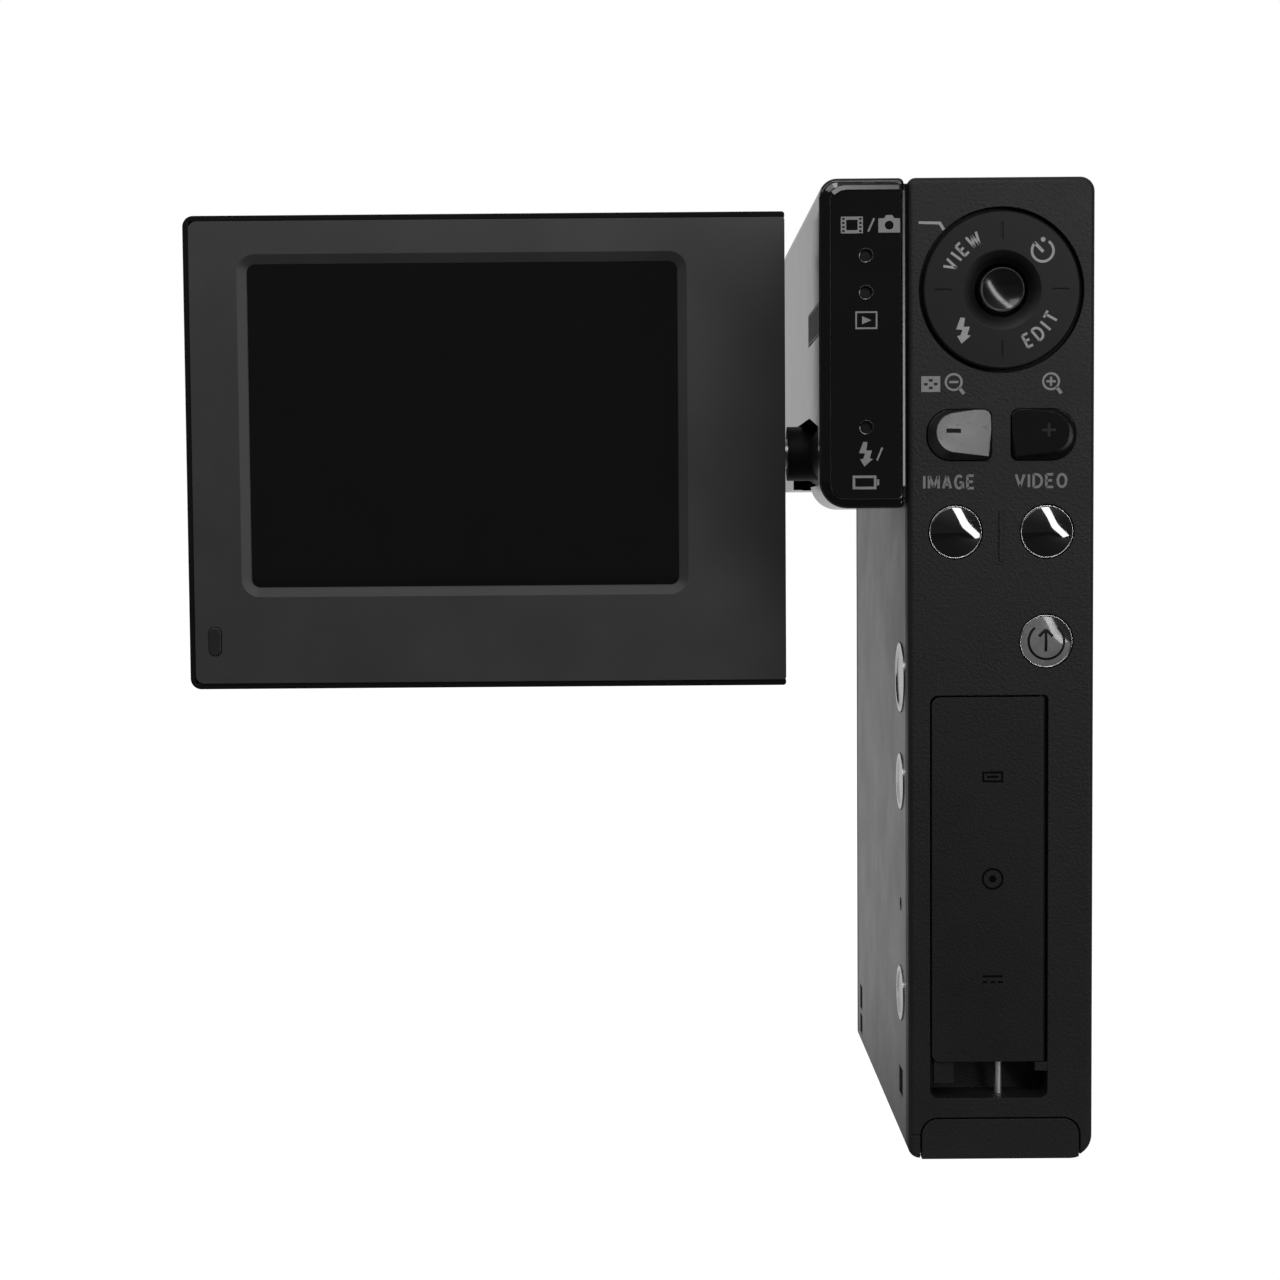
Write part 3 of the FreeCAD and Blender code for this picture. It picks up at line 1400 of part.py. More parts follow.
def key_dome(x, front, z):
    """All that lies behind the domed face of a round key, whose slope grows ever less outwards."""
    reach, deep = amount("take_radius + 2 * key_flange"), amount("2 * stem_end")
    power = 1 + amount("dome_growth")
    points = []
    for step in range(DOME_STEPS + 1):
        radius = reach * step / DOME_STEPS
        points.append(FreeCAD.Vector(radius, amount("dome_slope") * radius**power / power, 0))
    curve = Part.BSplineCurve()
    curve.interpolate(points)
    back = [points[-1], FreeCAD.Vector(reach, deep, 0), FreeCAD.Vector(0, deep, 0), points[0]]
    face = Part.Face(Part.Wire([curve.toShape()] + Part.makePolygon(back).Edges))
    solid = doc.addObject("Part::Feature", "Dome")
    solid.Shape = face.revolve(FreeCAD.Vector(), FreeCAD.Vector(0, 1, 0), 360)
    return place(solid, (x, front, z))


def round_key(label, x, z):
    front = "rear_face - key_proud"
    barrel = rod("Y", (x, front, z), "take_radius - key_gap", "key_proud + flange_drop + flange_thick / 2")
    dome = key_dome(x, front, z)
    flange = rod("Y", (x, "rear_face + flange_drop", z), "take_radius + key_flange", "flange_thick")
    stem = rod("Y", (x, "rear_face + flange_drop", z), "stem_radius", "stem_end - flange_drop")
    node(label, overlap(join(barrel, flange, stem), dome))


def zoom_sides(side):
    """The key's sloped sides: a cone round its outer end and a wedge from there to its inner end."""
    foot = "rear_face - zoom_proud"
    radius = "zoom_high / 2 - key_gap"
    end = "%d * (zoom_x + zoom_wide / 2 - zoom_high / 2)" % side
    inner = "%d * (zoom_x - zoom_wide / 2 + key_gap)" % side
    inner_top = "%d * (zoom_x - zoom_wide / 2 + key_gap + zoom_side)" % side
    round_end = cone(
        "Y",
        (end, "rear_face - zoom_crest", "zoom_z"),
        radius + " - zoom_side",
        radius,
        "zoom_crest - zoom_proud",
    )
    left, right = (end, inner) if side < 0 else (inner, end)
    left_top, right_top = (end, inner_top) if side < 0 else (inner_top, end)
    wedge = doc.addObject("Part::Wedge", "Wedge")
    bind(wedge, Xmin=left_top, Xmax=right_top, X2min=left, X2max=right)
    bind(wedge, Ymin="rear_face - zoom_crest", Ymax=foot)
    bind(wedge, Zmin="zoom_z - (%s) + zoom_side" % radius, Zmax="zoom_z + %s - zoom_side" % radius)
    bind(wedge, Z2min="zoom_z - (%s)" % radius, Z2max="zoom_z + %s" % radius)
    return [round_end, wedge]


def zoom_face(side):
    """What lies ahead of the key's leaning touch face."""
    centre = ("%d * zoom_x" % side, "rear_face - zoom_middle", "zoom_z")
    ahead = box(
        ("%d * zoom_x - zoom_wide" % side, "rear_face - zoom_middle - zoom_wide", "zoom_z - zoom_wide"),
        ("2 * zoom_wide", "zoom_wide", "2 * zoom_wide"),
    )
    leant = turned(ahead, (0, 0, 1), -side * amount("zoom_lean"), centre)
    return turned(leant, (1, 0, 0), -amount("zoom_tip"), centre)


def zoom_key(label, side):
    x = "%d * zoom_x" % side
    deep = "zoom_crest + flange_drop + flange_thick / 2"
    prism = zoom_shape(side, "rear_face - zoom_crest", deep, "key_gap")
    under = box(
        (x + " - zoom_wide", "rear_face - zoom_proud", "zoom_z - zoom_wide"),
        ("2 * zoom_wide", "zoom_proud + stem_end", "2 * zoom_wide"),
    )
    top = take(overlap(prism, join(under, *zoom_sides(side))), zoom_face(side))
    flange = box(
        (
            x + " - zoom_wide / 2 - key_flange / 2",
            "rear_face + flange_drop",
            "zoom_z - zoom_high / 2 - key_flange",
        ),
        ("zoom_wide + key_flange", "flange_thick", "zoom_high + 2 * key_flange"),
    )
    stem = rod("Y", (x, "rear_face + flange_drop", "zoom_z"), "stem_radius", "stem_end - flange_drop")
    node(label, join(top, flange, stem))


def side_key(label, z, radius):
    front = "-grip_width / 2 - side_proud"
    barrel = rod(
        "X", (front, "side_y", z), radius + " - key_gap", "side_proud + wall + slack + side_flange_thick"
    )
    dish = cone(
        "X", (front, "side_y", z), radius + " - side_dish", radius + " - side_dish_floor", "side_proud"
    )
    flange = rod(
        "X", ("-grip_width / 2 + wall + slack", "side_y", z), radius + " + side_flange", "side_flange_thick"
    )
    node(label, join(take(barrel, dish), flange))


# ---- doors ---------------------------------------------------------------------------------------------


def jack_cover():
    """A stiff flap whose rounded right edge turns on two pegs."""
    leaf = slab_xz(
        "jack_leaf",
        ("jack_left + jack_gap", "rear_face", "jack_low"),
        JACK_AXIS_X + " - jack_left - jack_gap",
        "jack_top - jack_low - jack_gap",
        "jack_thick",
        ("jack_round", "round_inside / 6", "round_inside / 6", "jack_round"),
    )
    knuckle = rod(
        "Z", (JACK_AXIS_X, JACK_AXIS_Y, "jack_low"), "jack_thick / 2", "jack_top - jack_low - jack_gap"
    )
    pegs = rod(
        "Z",
        (JACK_AXIS_X, JACK_AXIS_Y, "jack_low - peg_long + slack"),
        "jack_peg",
        "jack_top - jack_low - jack_gap + 2 * peg_long - 2 * slack",
    )
    tab = box(
        ("jack_left + jack_round / 2", "rear_face + jack_thick / 3", "jack_low - tab_high"),
        ("tab_wide", "tab_thick", "tab_high + wall"),
    )
    node("jack_cover", join(leaf, knuckle, pegs, tab))


def battery_door(envelope):
    tongue = overlap(tongue_outline("tongue", "0", "tongue_thick"), envelope)
    plate = box(
        ("-door_wide / 2", "rear_face + slack", "0"),
        ("door_wide", "door_axis_y - rear_face - slack", "door_thick"),
    )
    plate = overlap(plate, envelope)
    knuckle = rod("X", ("-door_wide / 2", "door_axis_y", "door_thick / 2"), "door_thick / 2", "door_wide")
    reach = "door_wide / 2 + door_peg_long"
    pegs = rod("X", ("-(%s)" % reach, "door_axis_y", "door_thick / 2"), "door_peg", "2 * (%s)" % reach)
    slot = box(
        ("-latch_wide / 2 - slack", "latch_y - slack", "-door_thick"),
        ("latch_wide + 2 * slack", "latch_long + latch_travel + 3 * slack", "3 * door_thick"),
    )
    node("battery_door", take(join(tongue, plate, knuckle, pegs), slot))


def battery_latch():
    tab = box(
        ("-latch_wide / 2", "latch_y", "slack"), ("latch_wide", "latch_long", "door_thick + latch_plate / 2")
    )
    plate = box(
        ("-latch_wide / 2 - latch_plate", "latch_y - slack", "door_thick + slack"),
        ("latch_wide + 2 * latch_plate", "latch_long + 2 * latch_plate", "latch_plate"),
    )
    grooves = []
    for place_along in (1, 2, 3):
        grooves.append(
            box(
                (
                    "-latch_wide / 2 + latch_plate",
                    "latch_y + %d * latch_long / 4 - shallow / 2" % place_along,
                    "-shallow",
                ),
                ("latch_wide - 2 * latch_plate", "shallow", "2 * shallow + slack"),
            )
        )
    node("battery_latch", take(join(tab, plate), *grooves))


# ---- power, card and boards ----------------------------------------------------------------------------


def battery_bay():
    outer = box(("-bay_half", "bay_back", "bay_low"), ("2 * bay_half", "bay_long", "bay_high"))
    inner = box(
        ("-bay_half + bay_wall", "bay_back + bay_wall", "bay_low - wall"),
        ("2 * bay_half - 2 * bay_wall", "bay_long - 2 * bay_wall", "bay_high - bay_wall + wall"),
    )
    node("battery_bay", take(outer, inner))
    body = new_body("cell", ("battery_left", "bay_back + bay_wall + 2 * slack", "bay_low + bay_wall"))
    pad(
        body,
        outline(sketch_on(body, "XY_Plane"), "battery_wide", "battery_long", even("battery_round")),
        "battery_high",
    )
    node("battery_pack", body)


def card_parts():
    centre = "bay_back + bay_long / 2"
    card = box(("card_x", centre + " - card_long / 2", "card_low"), ("card_thick", "card_long", "card_high"))
    socket = box(
        ("socket_left", centre + " - socket_long / 2", "socket_low"),
        ("socket_thick", "socket_long", "socket_high"),
    )
    slot = box(
        ("card_x - slack", centre + " - card_long / 2 - slack", "socket_low - wall"),
        (
            "card_thick + 2 * slack",
            "card_long + 2 * slack",
            "card_low + card_high + slack - socket_low + wall",
        ),
    )
    node("memory_card", card)
    node("card_socket", take(socket, slot))


def main_board():
    board = box(("main_x", "main_back", "main_low"), ("board_thick", "main_long", "main_high"))
    chip = box(
        ("main_x + board_thick / 2", "main_back + main_long / 4", "main_low + chip_wide / 3"),
        ("board_thick / 2 + chip_thick", "chip_wide", "chip_wide"),
    )
    node("main_board", join(board, chip))


def key_boards():
    rear = box(
        ("key_board_left", "rear_face + key_board_drop", "key_board_low"),
        ("key_board_wide", "key_board_thick", "key_board_high"),
    )
    node("key_board", rear)
    side = box(
        ("side_board_x", "side_board_back", "side_board_low"),
        ("side_board_thick", "side_board_long", "side_board_high"),
    )
    node("side_key_board", side)


def dome_switches():
    spots = [
        ("-zoom_x", "zoom_z"),
        ("zoom_x", "zoom_z"),
        ("-take_x", "take_z"),
        ("take_x", "take_z"),
        ("share_x", "share_z"),
        ("0", "dial_z"),
    ]
    for across in ("-", ""):
        for up in ("-", "+"):
            spots.append((across + "dome_offset", "dial_z %s dome_offset" % up))
    start = "rear_face + key_board_drop - dome_high"
    domes = [rod("Y", (x, start, z), "dome_radius", "dome_high") for x, z in spots]
    for height in ("power_z", "playback_z", "display_z"):
        domes.append(rod("X", ("side_board_x - dome_high", "side_y", height), "dome_radius", "dome_high"))
    node("dome_switches", group(*domes))


def sockets():
    start = "rear_face + jack_deep + 2 * slack"
    usb = box(
        ("jack_x - usb_wide / 2", start, "usb_z - usb_high / 2"), ("usb_wide", "jack_body", "usb_high")
    )
    mouth = box(
        ("jack_x - usb_wide / 2 + jack_shell", start + " - wall", "usb_z - usb_high / 2 + jack_shell"),
        ("usb_wide - 2 * jack_shell", "jack_reach + wall", "usb_high - 2 * jack_shell"),
    )
    blade = box(
        ("jack_x - usb_wide / 4", start + " + jack_shell", "usb_z - jack_shell / 2"),
        ("usb_wide / 2", "jack_reach", "jack_shell"),
    )
    node("usb_socket", join(take(usb, mouth), blade))
    for label, height, bore in (("av_socket", "av_z", "av_bore"), ("dc_socket", "dc_z", "dc_bore")):
        block = box(
            ("jack_x - round_jack / 2", start, height + " - round_jack / 2"),
            ("round_jack", "jack_body", "round_jack"),
        )
        hole = rod("Y", ("jack_x", start + " - wall", height), bore, "jack_reach + wall")
        piece = take(block, hole)
        if label == "dc_socket":
            piece = join(piece, rod("Y", ("jack_x", start + " + jack_shell", height), "dc_pin", "jack_reach"))
        node(label, piece)


def strap_bar():
    node(
        "strap_bar",
        rod(
            "Z",
            ("strap_x", "rear_face + strap_drop", "strap_low - strap_sunk"),
            "strap_radius",
            "jack_low - strap_low + 2 * strap_sunk",
        ),
    )


# ---- lens ----------------------------------------------------------------------------------------------


def lens_parts():
    front = "front_face - front_thick"
    tube = rod("Y", ("0", "tube_back", "lens_z"), "tube_radius", front + " - tube_back")
    bore = rod("Y", ("0", "tube_back - wall", "lens_z"), "tube_bore", front + " - tube_back + 2 * wall")
    node("lens_housing", take(tube, bore))
    ring = rod("Y", ("0", front, "lens_z"), "ring_outer", "front_thick")
    mouth = cone("Y", ("0", front, "lens_z"), "ring_inner", "ring_cone", "front_thick")
    node("lens_ring", take(ring, mouth))
    disc = rod("Y", ("0", "glass_y", "lens_z"), "tube_bore - group_run", "glass_thick")
    crown = ball(("0", "glass_y + glass_thick - glass_crown", "lens_z"), "glass_crown")
    node("front_glass", overlap(disc, crown))
    node("zoom_lens_group", lens_group("zoom_y"))
    node("focus_lens_group", lens_group("focus_y"))
    rods = []
    for x in ("-guide_x", "guide_x"):
        rods.append(rod("Y", (x, "tube_back + slack", "lens_z"), "guide_radius", "guide_long"))
    node("lens_guide_rods", group(*rods))
    sensor = box(
        ("-sensor_side / 2", "tube_back - slack - sensor_thick", "lens_z - sensor_side / 2"),
        ("sensor_side", "sensor_thick", "sensor_side"),
    )
    node("image_sensor", sensor)


def lens_group(start):
    """A lens in its cell; the cell runs on the two guide rods inside the housing."""
    cell = rod("Y", ("0", start, "lens_z"), "tube_bore - group_run", "group_long")
    front = ball(("0", start + " + group_long + element_crown - wall", "lens_z"), "element_crown")
    back = ball(("0", start + " - element_crown + wall", "lens_z"), "element_crown")
    holes = []
    for x in ("-guide_x", "guide_x"):
        holes.append(
            rod("Y", (x, start + " - wall", "lens_z"), "guide_radius + group_run", "group_long + 2 * wall")
        )
    keep = rod("Y", ("0", start + " - group_long", "lens_z"), "element_radius", "3 * group_long")
    return take(cell, overlap(join(front, back), keep), *holes)


def lens_motors():
    motors = []
    for x in ("-motor_x", "motor_x"):
        can = rod("Y", (x, "motor_y", "motor_z"), "motor_radius", "motor_long")
        shaft = rod(
            "Y",
            (x, "motor_y + motor_long / 2", "motor_z"),
            "motor_shaft",
            "motor_long / 2 + motor_shaft_long",
        )
        motors.append(join(can, shaft))
    node("lens_motors", group(*motors))


def microphones():
    capsules = []
    for x in ("-mic_x", "mic_x"):
        capsules.append(
            rod("Y", (x, "front_face - front_thick - slack - mic_long", "mic_z"), "mic_radius", "mic_long")
        )
    node("microphones", group(*capsules))


# ---- fasteners -----------------------------------------------------------------------------------------


def casing_screws():
    screws = []
    for y, z in SCREW_POSTS:
        seat = "grip_width / 2 - pocket_deep"
        head = rod("X", (seat, y, z), "screw_head", "screw_head_thick")
        shank = rod("X", (seat + " - screw_long", y, z), "screw_radius", "screw_long")
        cross = []
        for wide, high in (("cross_wide", "cross_long"), ("cross_long", "cross_wide")):
            cross.append(
                box(
                    (
                        seat + " + screw_head_thick - cross_deep",
                        "%s - %s / 2" % (y, wide),
                        "%s - %s / 2" % (z, high),
                    ),
                    ("wall", wide, high),
                )
            )
        screws.append(take(join(head, shank), *cross))
    node("casing_screws", group(*screws))


def tripod_socket():
    bush = rod("Z", ("0", "0", "0"), "bush_radius", "bush_high")
    flange = rod("Z", ("0", "0", "wall + slack"), "bush_flange", "bush_flange_thick")
    thread = rod("Z", ("0", "0", "-wall"), "thread_radius", "thread_deep + wall")
    node("tripod_socket", take(join(bush, flange), thread))


def build():
    fill_sheet()
    tube = casing_tube()
    envelope = grip_slab("grip_envelope", "rear_face", "front_face - rear_face")
    left_casing(tube)
    right_casing(tube)
    rear_cover()
    front_cover()
    head_cover()
    indicator_panel()
    indicator_lights()
    flash_unit()
    speaker()
    hinge_bracket()
    hinge_barrel()
    swivel_shaft()
    lcd_back_cover()
    lcd_bezel()
    lcd_glass()
    lcd_latch()
    lcd_screws()
    selector_ring()
    selector_gimbal()
    joystick_cap()
    joystick_rocker()
    joystick_plunger()
    zoom_key("zoom_wide_key", -1)
    zoom_key("zoom_tele_key", 1)
    round_key("photo_button", "-take_x", "take_z")
    round_key("movie_button", "take_x", "take_z")
    round_key("share_button", "share_x", "share_z")
    side_key("power_button", "power_z", "power_radius")
    side_key("playback_button", "playback_z", "playback_radius")
    side_key("display_button", "display_z", "display_radius")
    jack_cover()
    battery_door(envelope)
    battery_latch()
    battery_bay()
    card_parts()
    main_board()
    key_boards()
    dome_switches()
    sockets()
    strap_bar()
    lens_parts()
    lens_motors()
    microphones()
    casing_screws()
    tripod_socket()
    doc.recompute()


def check():
    failed = [item.Label for item in doc.Objects if "Invalid" in item.State or "Error" in item.State]
    if failed:
        raise RuntimeError("failed to compute: " + ", ".join(failed))
    for item in nodes:
        shape = item.Shape
        if shape.isNull() or not shape.isValid() or shape.Volume <= 0 or not shape.Solids:
            raise RuntimeError("%s has no valid solid" % item.Label)


def export():
    os.makedirs("parts", exist_ok=True)
    for item in nodes:
        item.Shape.exportStep("parts/%s.step" % item.Label)


build()
check()
export()
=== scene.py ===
import math

import bmesh
import bpy
from mathutils import Matrix, Vector


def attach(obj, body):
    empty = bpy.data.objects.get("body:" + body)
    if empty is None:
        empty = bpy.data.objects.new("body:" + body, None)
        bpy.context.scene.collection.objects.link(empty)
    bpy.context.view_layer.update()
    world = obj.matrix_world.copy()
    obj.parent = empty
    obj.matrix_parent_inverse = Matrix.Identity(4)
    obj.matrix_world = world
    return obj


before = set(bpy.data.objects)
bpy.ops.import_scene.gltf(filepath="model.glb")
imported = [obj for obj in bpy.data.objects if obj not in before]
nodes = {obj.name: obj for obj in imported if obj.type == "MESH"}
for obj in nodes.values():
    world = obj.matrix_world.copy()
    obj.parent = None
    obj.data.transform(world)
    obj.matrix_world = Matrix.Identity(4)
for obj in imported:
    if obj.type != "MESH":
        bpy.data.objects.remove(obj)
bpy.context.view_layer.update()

MM = 0.001
REAR = -46.0  # back face of the grip, mm
RING = -46.25  # front of the selector ring, mm
DIAL = (0.0, 95.77)  # middle of the selector, mm


# ---- materials -----------------------------------------------------------------------------------------


class Recipe:
    """A node material with short calls for the parts every surface here needs."""

    def __init__(self, name):
        self.material = bpy.data.materials.new(name)
        self.material.use_nodes = True
        self.tree = self.material.node_tree
        self.shader = self.tree.nodes["Principled BSDF"]
        self.place = self.add("ShaderNodeTexCoord").outputs["Object"]

    def add(self, kind, **values):
        item = self.tree.nodes.new(kind)
        for key, value in values.items():
            setattr(item, key, value)
        return item

    def link(self, source, target):
        if isinstance(source, (int, float)):
            target.default_value = source
        elif isinstance(source, tuple):
            target.default_value = source
        else:
            self.tree.links.new(source, target)

    def stretch(self, scale):
        """The object's own coordinates, scaled per axis."""
        item = self.add("ShaderNodeMapping")
        self.link(self.place, item.inputs["Vector"])
        item.inputs["Scale"].default_value = scale
        return item.outputs["Vector"]

    def noise(self, size, detail=4.0, rough=0.6, warp=0.0, vector=None):
        """Noise whose features are about size millimetres across."""
        item = self.add("ShaderNodeTexNoise")
        self.link(vector or self.place, item.inputs["Vector"])
        item.inputs["Scale"].default_value = 1.0 / (size * MM)
        item.inputs["Detail"].default_value = detail
        item.inputs["Roughness"].default_value = rough
        item.inputs["Distortion"].default_value = warp
        return item.outputs["Fac"]

    def cells(self, size, feature="SMOOTH_F1", vector=None):
        item = self.add("ShaderNodeTexVoronoi", feature=feature)
        self.link(vector or self.place, item.inputs["Vector"])
        item.inputs["Scale"].default_value = 1.0 / (size * MM)
        return item.outputs["Distance"]

    def spread(self, value, low, high, out_low, out_high):
        item = self.add("ShaderNodeMapRange")
        self.link(value, item.inputs["Value"])
        for key, amount in zip(("From Min", "From Max", "To Min", "To Max"), (low, high, out_low, out_high)):
            item.inputs[key].default_value = amount
        return item.outputs["Result"]

    def sum(self, first, second, operation="ADD"):
        item = self.add("ShaderNodeMath", operation=operation)
        self.link(first, item.inputs[0])
        self.link(second, item.inputs[1])
        return item.outputs[0]

    def edges(self, radius):
        """1 on sharp edges, 0 on flats; and the rounded normal."""
        bevel = self.add("ShaderNodeBevel", samples=4)
        bevel.inputs["Radius"].default_value = radius * MM
        geometry = self.add("ShaderNodeNewGeometry")
        dot = self.add("ShaderNodeVectorMath", operation="DOT_PRODUCT")
        self.link(bevel.outputs[0], dot.inputs[0])
        self.link(geometry.outputs["Normal"], dot.inputs[1])
        return self.spread(dot.outputs["Value"], 0.97, 0.75, 0.0, 1.0), bevel.outputs[0]

    def bump(self, height, depth, normal=None):
        item = self.add("ShaderNodeBump")
        item.inputs["Distance"].default_value = depth * MM
        self.link(height, item.inputs["Height"])
        if normal is not None:
            self.link(normal, item.inputs["Normal"])
        return item.outputs["Normal"]

    def tint(self, colour, factor):
        """The colour multiplied by a value."""
        item = self.add("ShaderNodeMix", data_type="RGBA", blend_type="MULTIPLY")
        item.inputs["Factor"].default_value = 1.0
        item.inputs["A"].default_value = (*colour, 1.0)
        self.link(factor, item.inputs["B"])
        return item.outputs["Result"]

    def finish(self, **inputs):
        for key, value in inputs.items():
            self.link(value, self.shader.inputs[key.replace("_", " ")])
        return self.material


def leather(name, colour, rough, size=0.55, depth=0.05, edge=0.12, shine=0.5):
    """Moulded leather grain: rounded cells broken up by noise, lighter on the edges: partly wear, partly painted
    highlight.
    """
    r = Recipe(name)
    edge_wear_and_highlight, normal = r.edges(edge)
    warped = r.add("ShaderNodeVectorMath", operation="ADD")
    r.link(r.place, warped.inputs[0])
    drift = r.add("ShaderNodeTexNoise")
    drift.inputs["Scale"].default_value = 900.0
    r.link(r.place, drift.inputs["Vector"])
    shift = r.add("ShaderNodeVectorMath", operation="SCALE")
    r.link(drift.outputs["Color"], shift.inputs[0])
    shift.inputs["Scale"].default_value = 0.0004
    r.link(shift.outputs[0], warped.inputs[1])
    big = r.cells(size, vector=warped.outputs[0])
    small = r.cells(size * 0.45, vector=warped.outputs[0])
    fine = r.noise(0.12, 3.0)
    height = r.sum(r.sum(big, r.sum(small, 0.5, "MULTIPLY")), r.sum(fine, 0.25, "MULTIPLY"))
    broad = r.noise(9.0, 3.0)
    shade = r.sum(r.spread(broad, 0.3, 0.7, 0.88, 1.12), r.spread(height, 0.2, 1.2, 1.12, 0.86), "MULTIPLY")
    # edges lighter: partly wear, partly painted highlight
    shade = r.sum(shade, r.sum(edge_wear_and_highlight, 0.35, "MULTIPLY"))
    polish = r.sum(r.spread(broad, 0.3, 0.7, rough - 0.04, rough + 0.05), r.sum(edge_wear_and_highlight, -0.1, "MULTIPLY"))
    return r.finish(
        Base_Color=r.tint(colour, shade),
        Roughness=polish,
        Specular_IOR_Level=shine,
        Normal=r.bump(height, depth, normal),
    )


def matte(name, colour, rough, size=0.2, depth=0.006, edge=0.1, metal=0.0, wear_and_highlight=0.3, shine=0.5):
    """Fine spark-eroded plastic or paint."""
    r = Recipe(name)
    edge_wear_and_highlight, normal = r.edges(edge)
    grain = r.noise(size, 5.0, 0.7)
    broad = r.noise(12.0, 3.0)
    shade = r.sum(r.spread(broad, 0.3, 0.7, 0.93, 1.07), r.spread(grain, 0.3, 0.7, 0.92, 1.08), "MULTIPLY")
    # edges lighter: partly wear, partly painted highlight
    shade = r.sum(shade, r.sum(edge_wear_and_highlight, wear_and_highlight, "MULTIPLY"))
    polish = r.sum(r.spread(broad, 0.3, 0.7, rough - 0.03, rough + 0.04), r.spread(grain, 0.3, 0.7, -0.03, 0.03))
    return r.finish(
        Base_Color=r.tint(colour, shade),
        Roughness=polish,
        Metallic=metal,
        Specular_IOR_Level=shine,
        Normal=r.bump(grain, depth, normal),
    )


def rocker(name, colour, rough):
    """Satin paint, lighter on its edges (partly wear, partly painted highlight); the dish round the joystick is
    painted darker and less shiny: painted shade.
    """
    r = Recipe(name)
    edge_wear_and_highlight, normal = r.edges(0.1)
    centred = r.add("ShaderNodeVectorMath", operation="SUBTRACT")
    r.link(r.stretch((1.0, 0.0, 1.0)), centred.inputs[0])
    centred.inputs[1].default_value = (DIAL[0] * MM, 0.0, DIAL[1] * MM)
    length = r.add("ShaderNodeVectorMath", operation="LENGTH")
    r.link(centred.outputs[0], length.inputs[0])
    # painted shade: darker and less shiny towards the joystick, in the dish
    painted_dish_shade = r.spread(length.outputs["Value"], 3.3 * MM, 4.4 * MM, 0.3, 1.0)
    grain = r.noise(0.1, 5.0, 0.7)
    shade = r.sum(r.sum(r.spread(grain, 0.3, 0.7, 0.9, 1.1), r.sum(edge_wear_and_highlight, 0.3, "MULTIPLY")), painted_dish_shade, "MULTIPLY")
    return r.finish(
        Base_Color=r.tint(colour, shade),
        Roughness=r.spread(grain, 0.3, 0.7, rough - 0.03, rough + 0.04),
        Specular_IOR_Level=r.sum(painted_dish_shade, 0.25, "MULTIPLY"),
        Normal=r.bump(grain, 0.002, normal),
    )


def ink(name, shade, shine=0.5):
    """Printed ink: an even grey with a fine grain and slight thin spots."""
    r = Recipe(name)
    grain = r.noise(0.06, 4.0, 0.7)
    thin = r.noise(0.9, 3.0)
    tone = r.sum(r.spread(grain, 0.3, 0.7, 0.94, 1.06), r.spread(thin, 0.3, 0.7, 0.9, 1.08), "MULTIPLY")
    return r.finish(
        Base_Color=r.tint((shade, shade, shade), tone),
        Roughness=r.spread(grain, 0.3, 0.7, 0.45, 0.6),
        Specular_IOR_Level=shine,
        Normal=r.bump(grain, 0.001),
    )


def gloss(name, colour, rough, edge=0.1, metal=0.0, wave=0.004, smear=0.05, used=1.0):
    """Polished moulding: slight waviness, faint handling smears, fine scratches and dust."""
    r = Recipe(name)
    edge_wear_and_highlight, normal = r.edges(edge)
    ripple = r.noise(6.0, 1.0)
    hair = r.noise(0.35, 2.0, 0.5, 0.6, r.stretch((0.3, 0.3, 1.0)))
    hair = r.spread(hair, 0.66, 0.7, 0.0, 0.05 * used)
    smudge = r.noise(7.0, 5.0, 0.65, 0.8)
    dust = r.spread(r.cells(2.6, "F1"), 0.02, 0.0, 0.0, used)
    polish = r.sum(r.spread(smudge, 0.4, 0.8, rough, rough + smear), r.sum(hair, dust))
    # the edge lift here is partly wear, partly painted highlight; smears and dust are real
    shade = r.sum(r.spread(smudge, 0.3, 0.8, 1.0, 1.25), r.sum(r.sum(edge_wear_and_highlight, 0.4, "MULTIPLY"), r.sum(dust, 3.0, "MULTIPLY")))
    height = r.sum(ripple, r.sum(dust, 0.4, "MULTIPLY"))
    return r.finish(
        Base_Color=r.tint(colour, shade),
        Roughness=polish,
        Metallic=metal,
        Normal=r.bump(height, wave, normal),
    )


def share_paint(name):
    """Silver paint under clear lacquer; the side of the dome towards the upper right is painted dark: painted shade.
    """
    r = Recipe(name)
    geometry = r.add("ShaderNodeNewGeometry")
    dot = r.add("ShaderNodeVectorMath", operation="DOT_PRODUCT")
    r.link(geometry.outputs["Normal"], dot.inputs[0])
    dot.inputs[1].default_value = (0.79, 0.0, 0.61)
    # painted shade on the side of the dome that faces the upper right
    painted_shade_side = r.spread(dot.outputs["Value"], 0.20, 0.215, 1.0, 0.12)
    flakes = r.spread(r.noise(0.07, 3.0), 0.3, 0.7, 0.85, 1.15)
    cloud = r.spread(r.noise(1.8, 3.0), 0.3, 0.7, 0.85, 1.12)
    return r.finish(
        Base_Color=r.tint((0.2, 0.2, 0.202), r.sum(painted_shade_side, r.sum(flakes, cloud, "MULTIPLY"), "MULTIPLY")),
        Roughness=r.spread(r.noise(3.0, 4.0), 0.4, 0.8, 0.06, 0.12),
        Normal=r.bump(r.noise(4.0, 1.0), 0.002),
    )


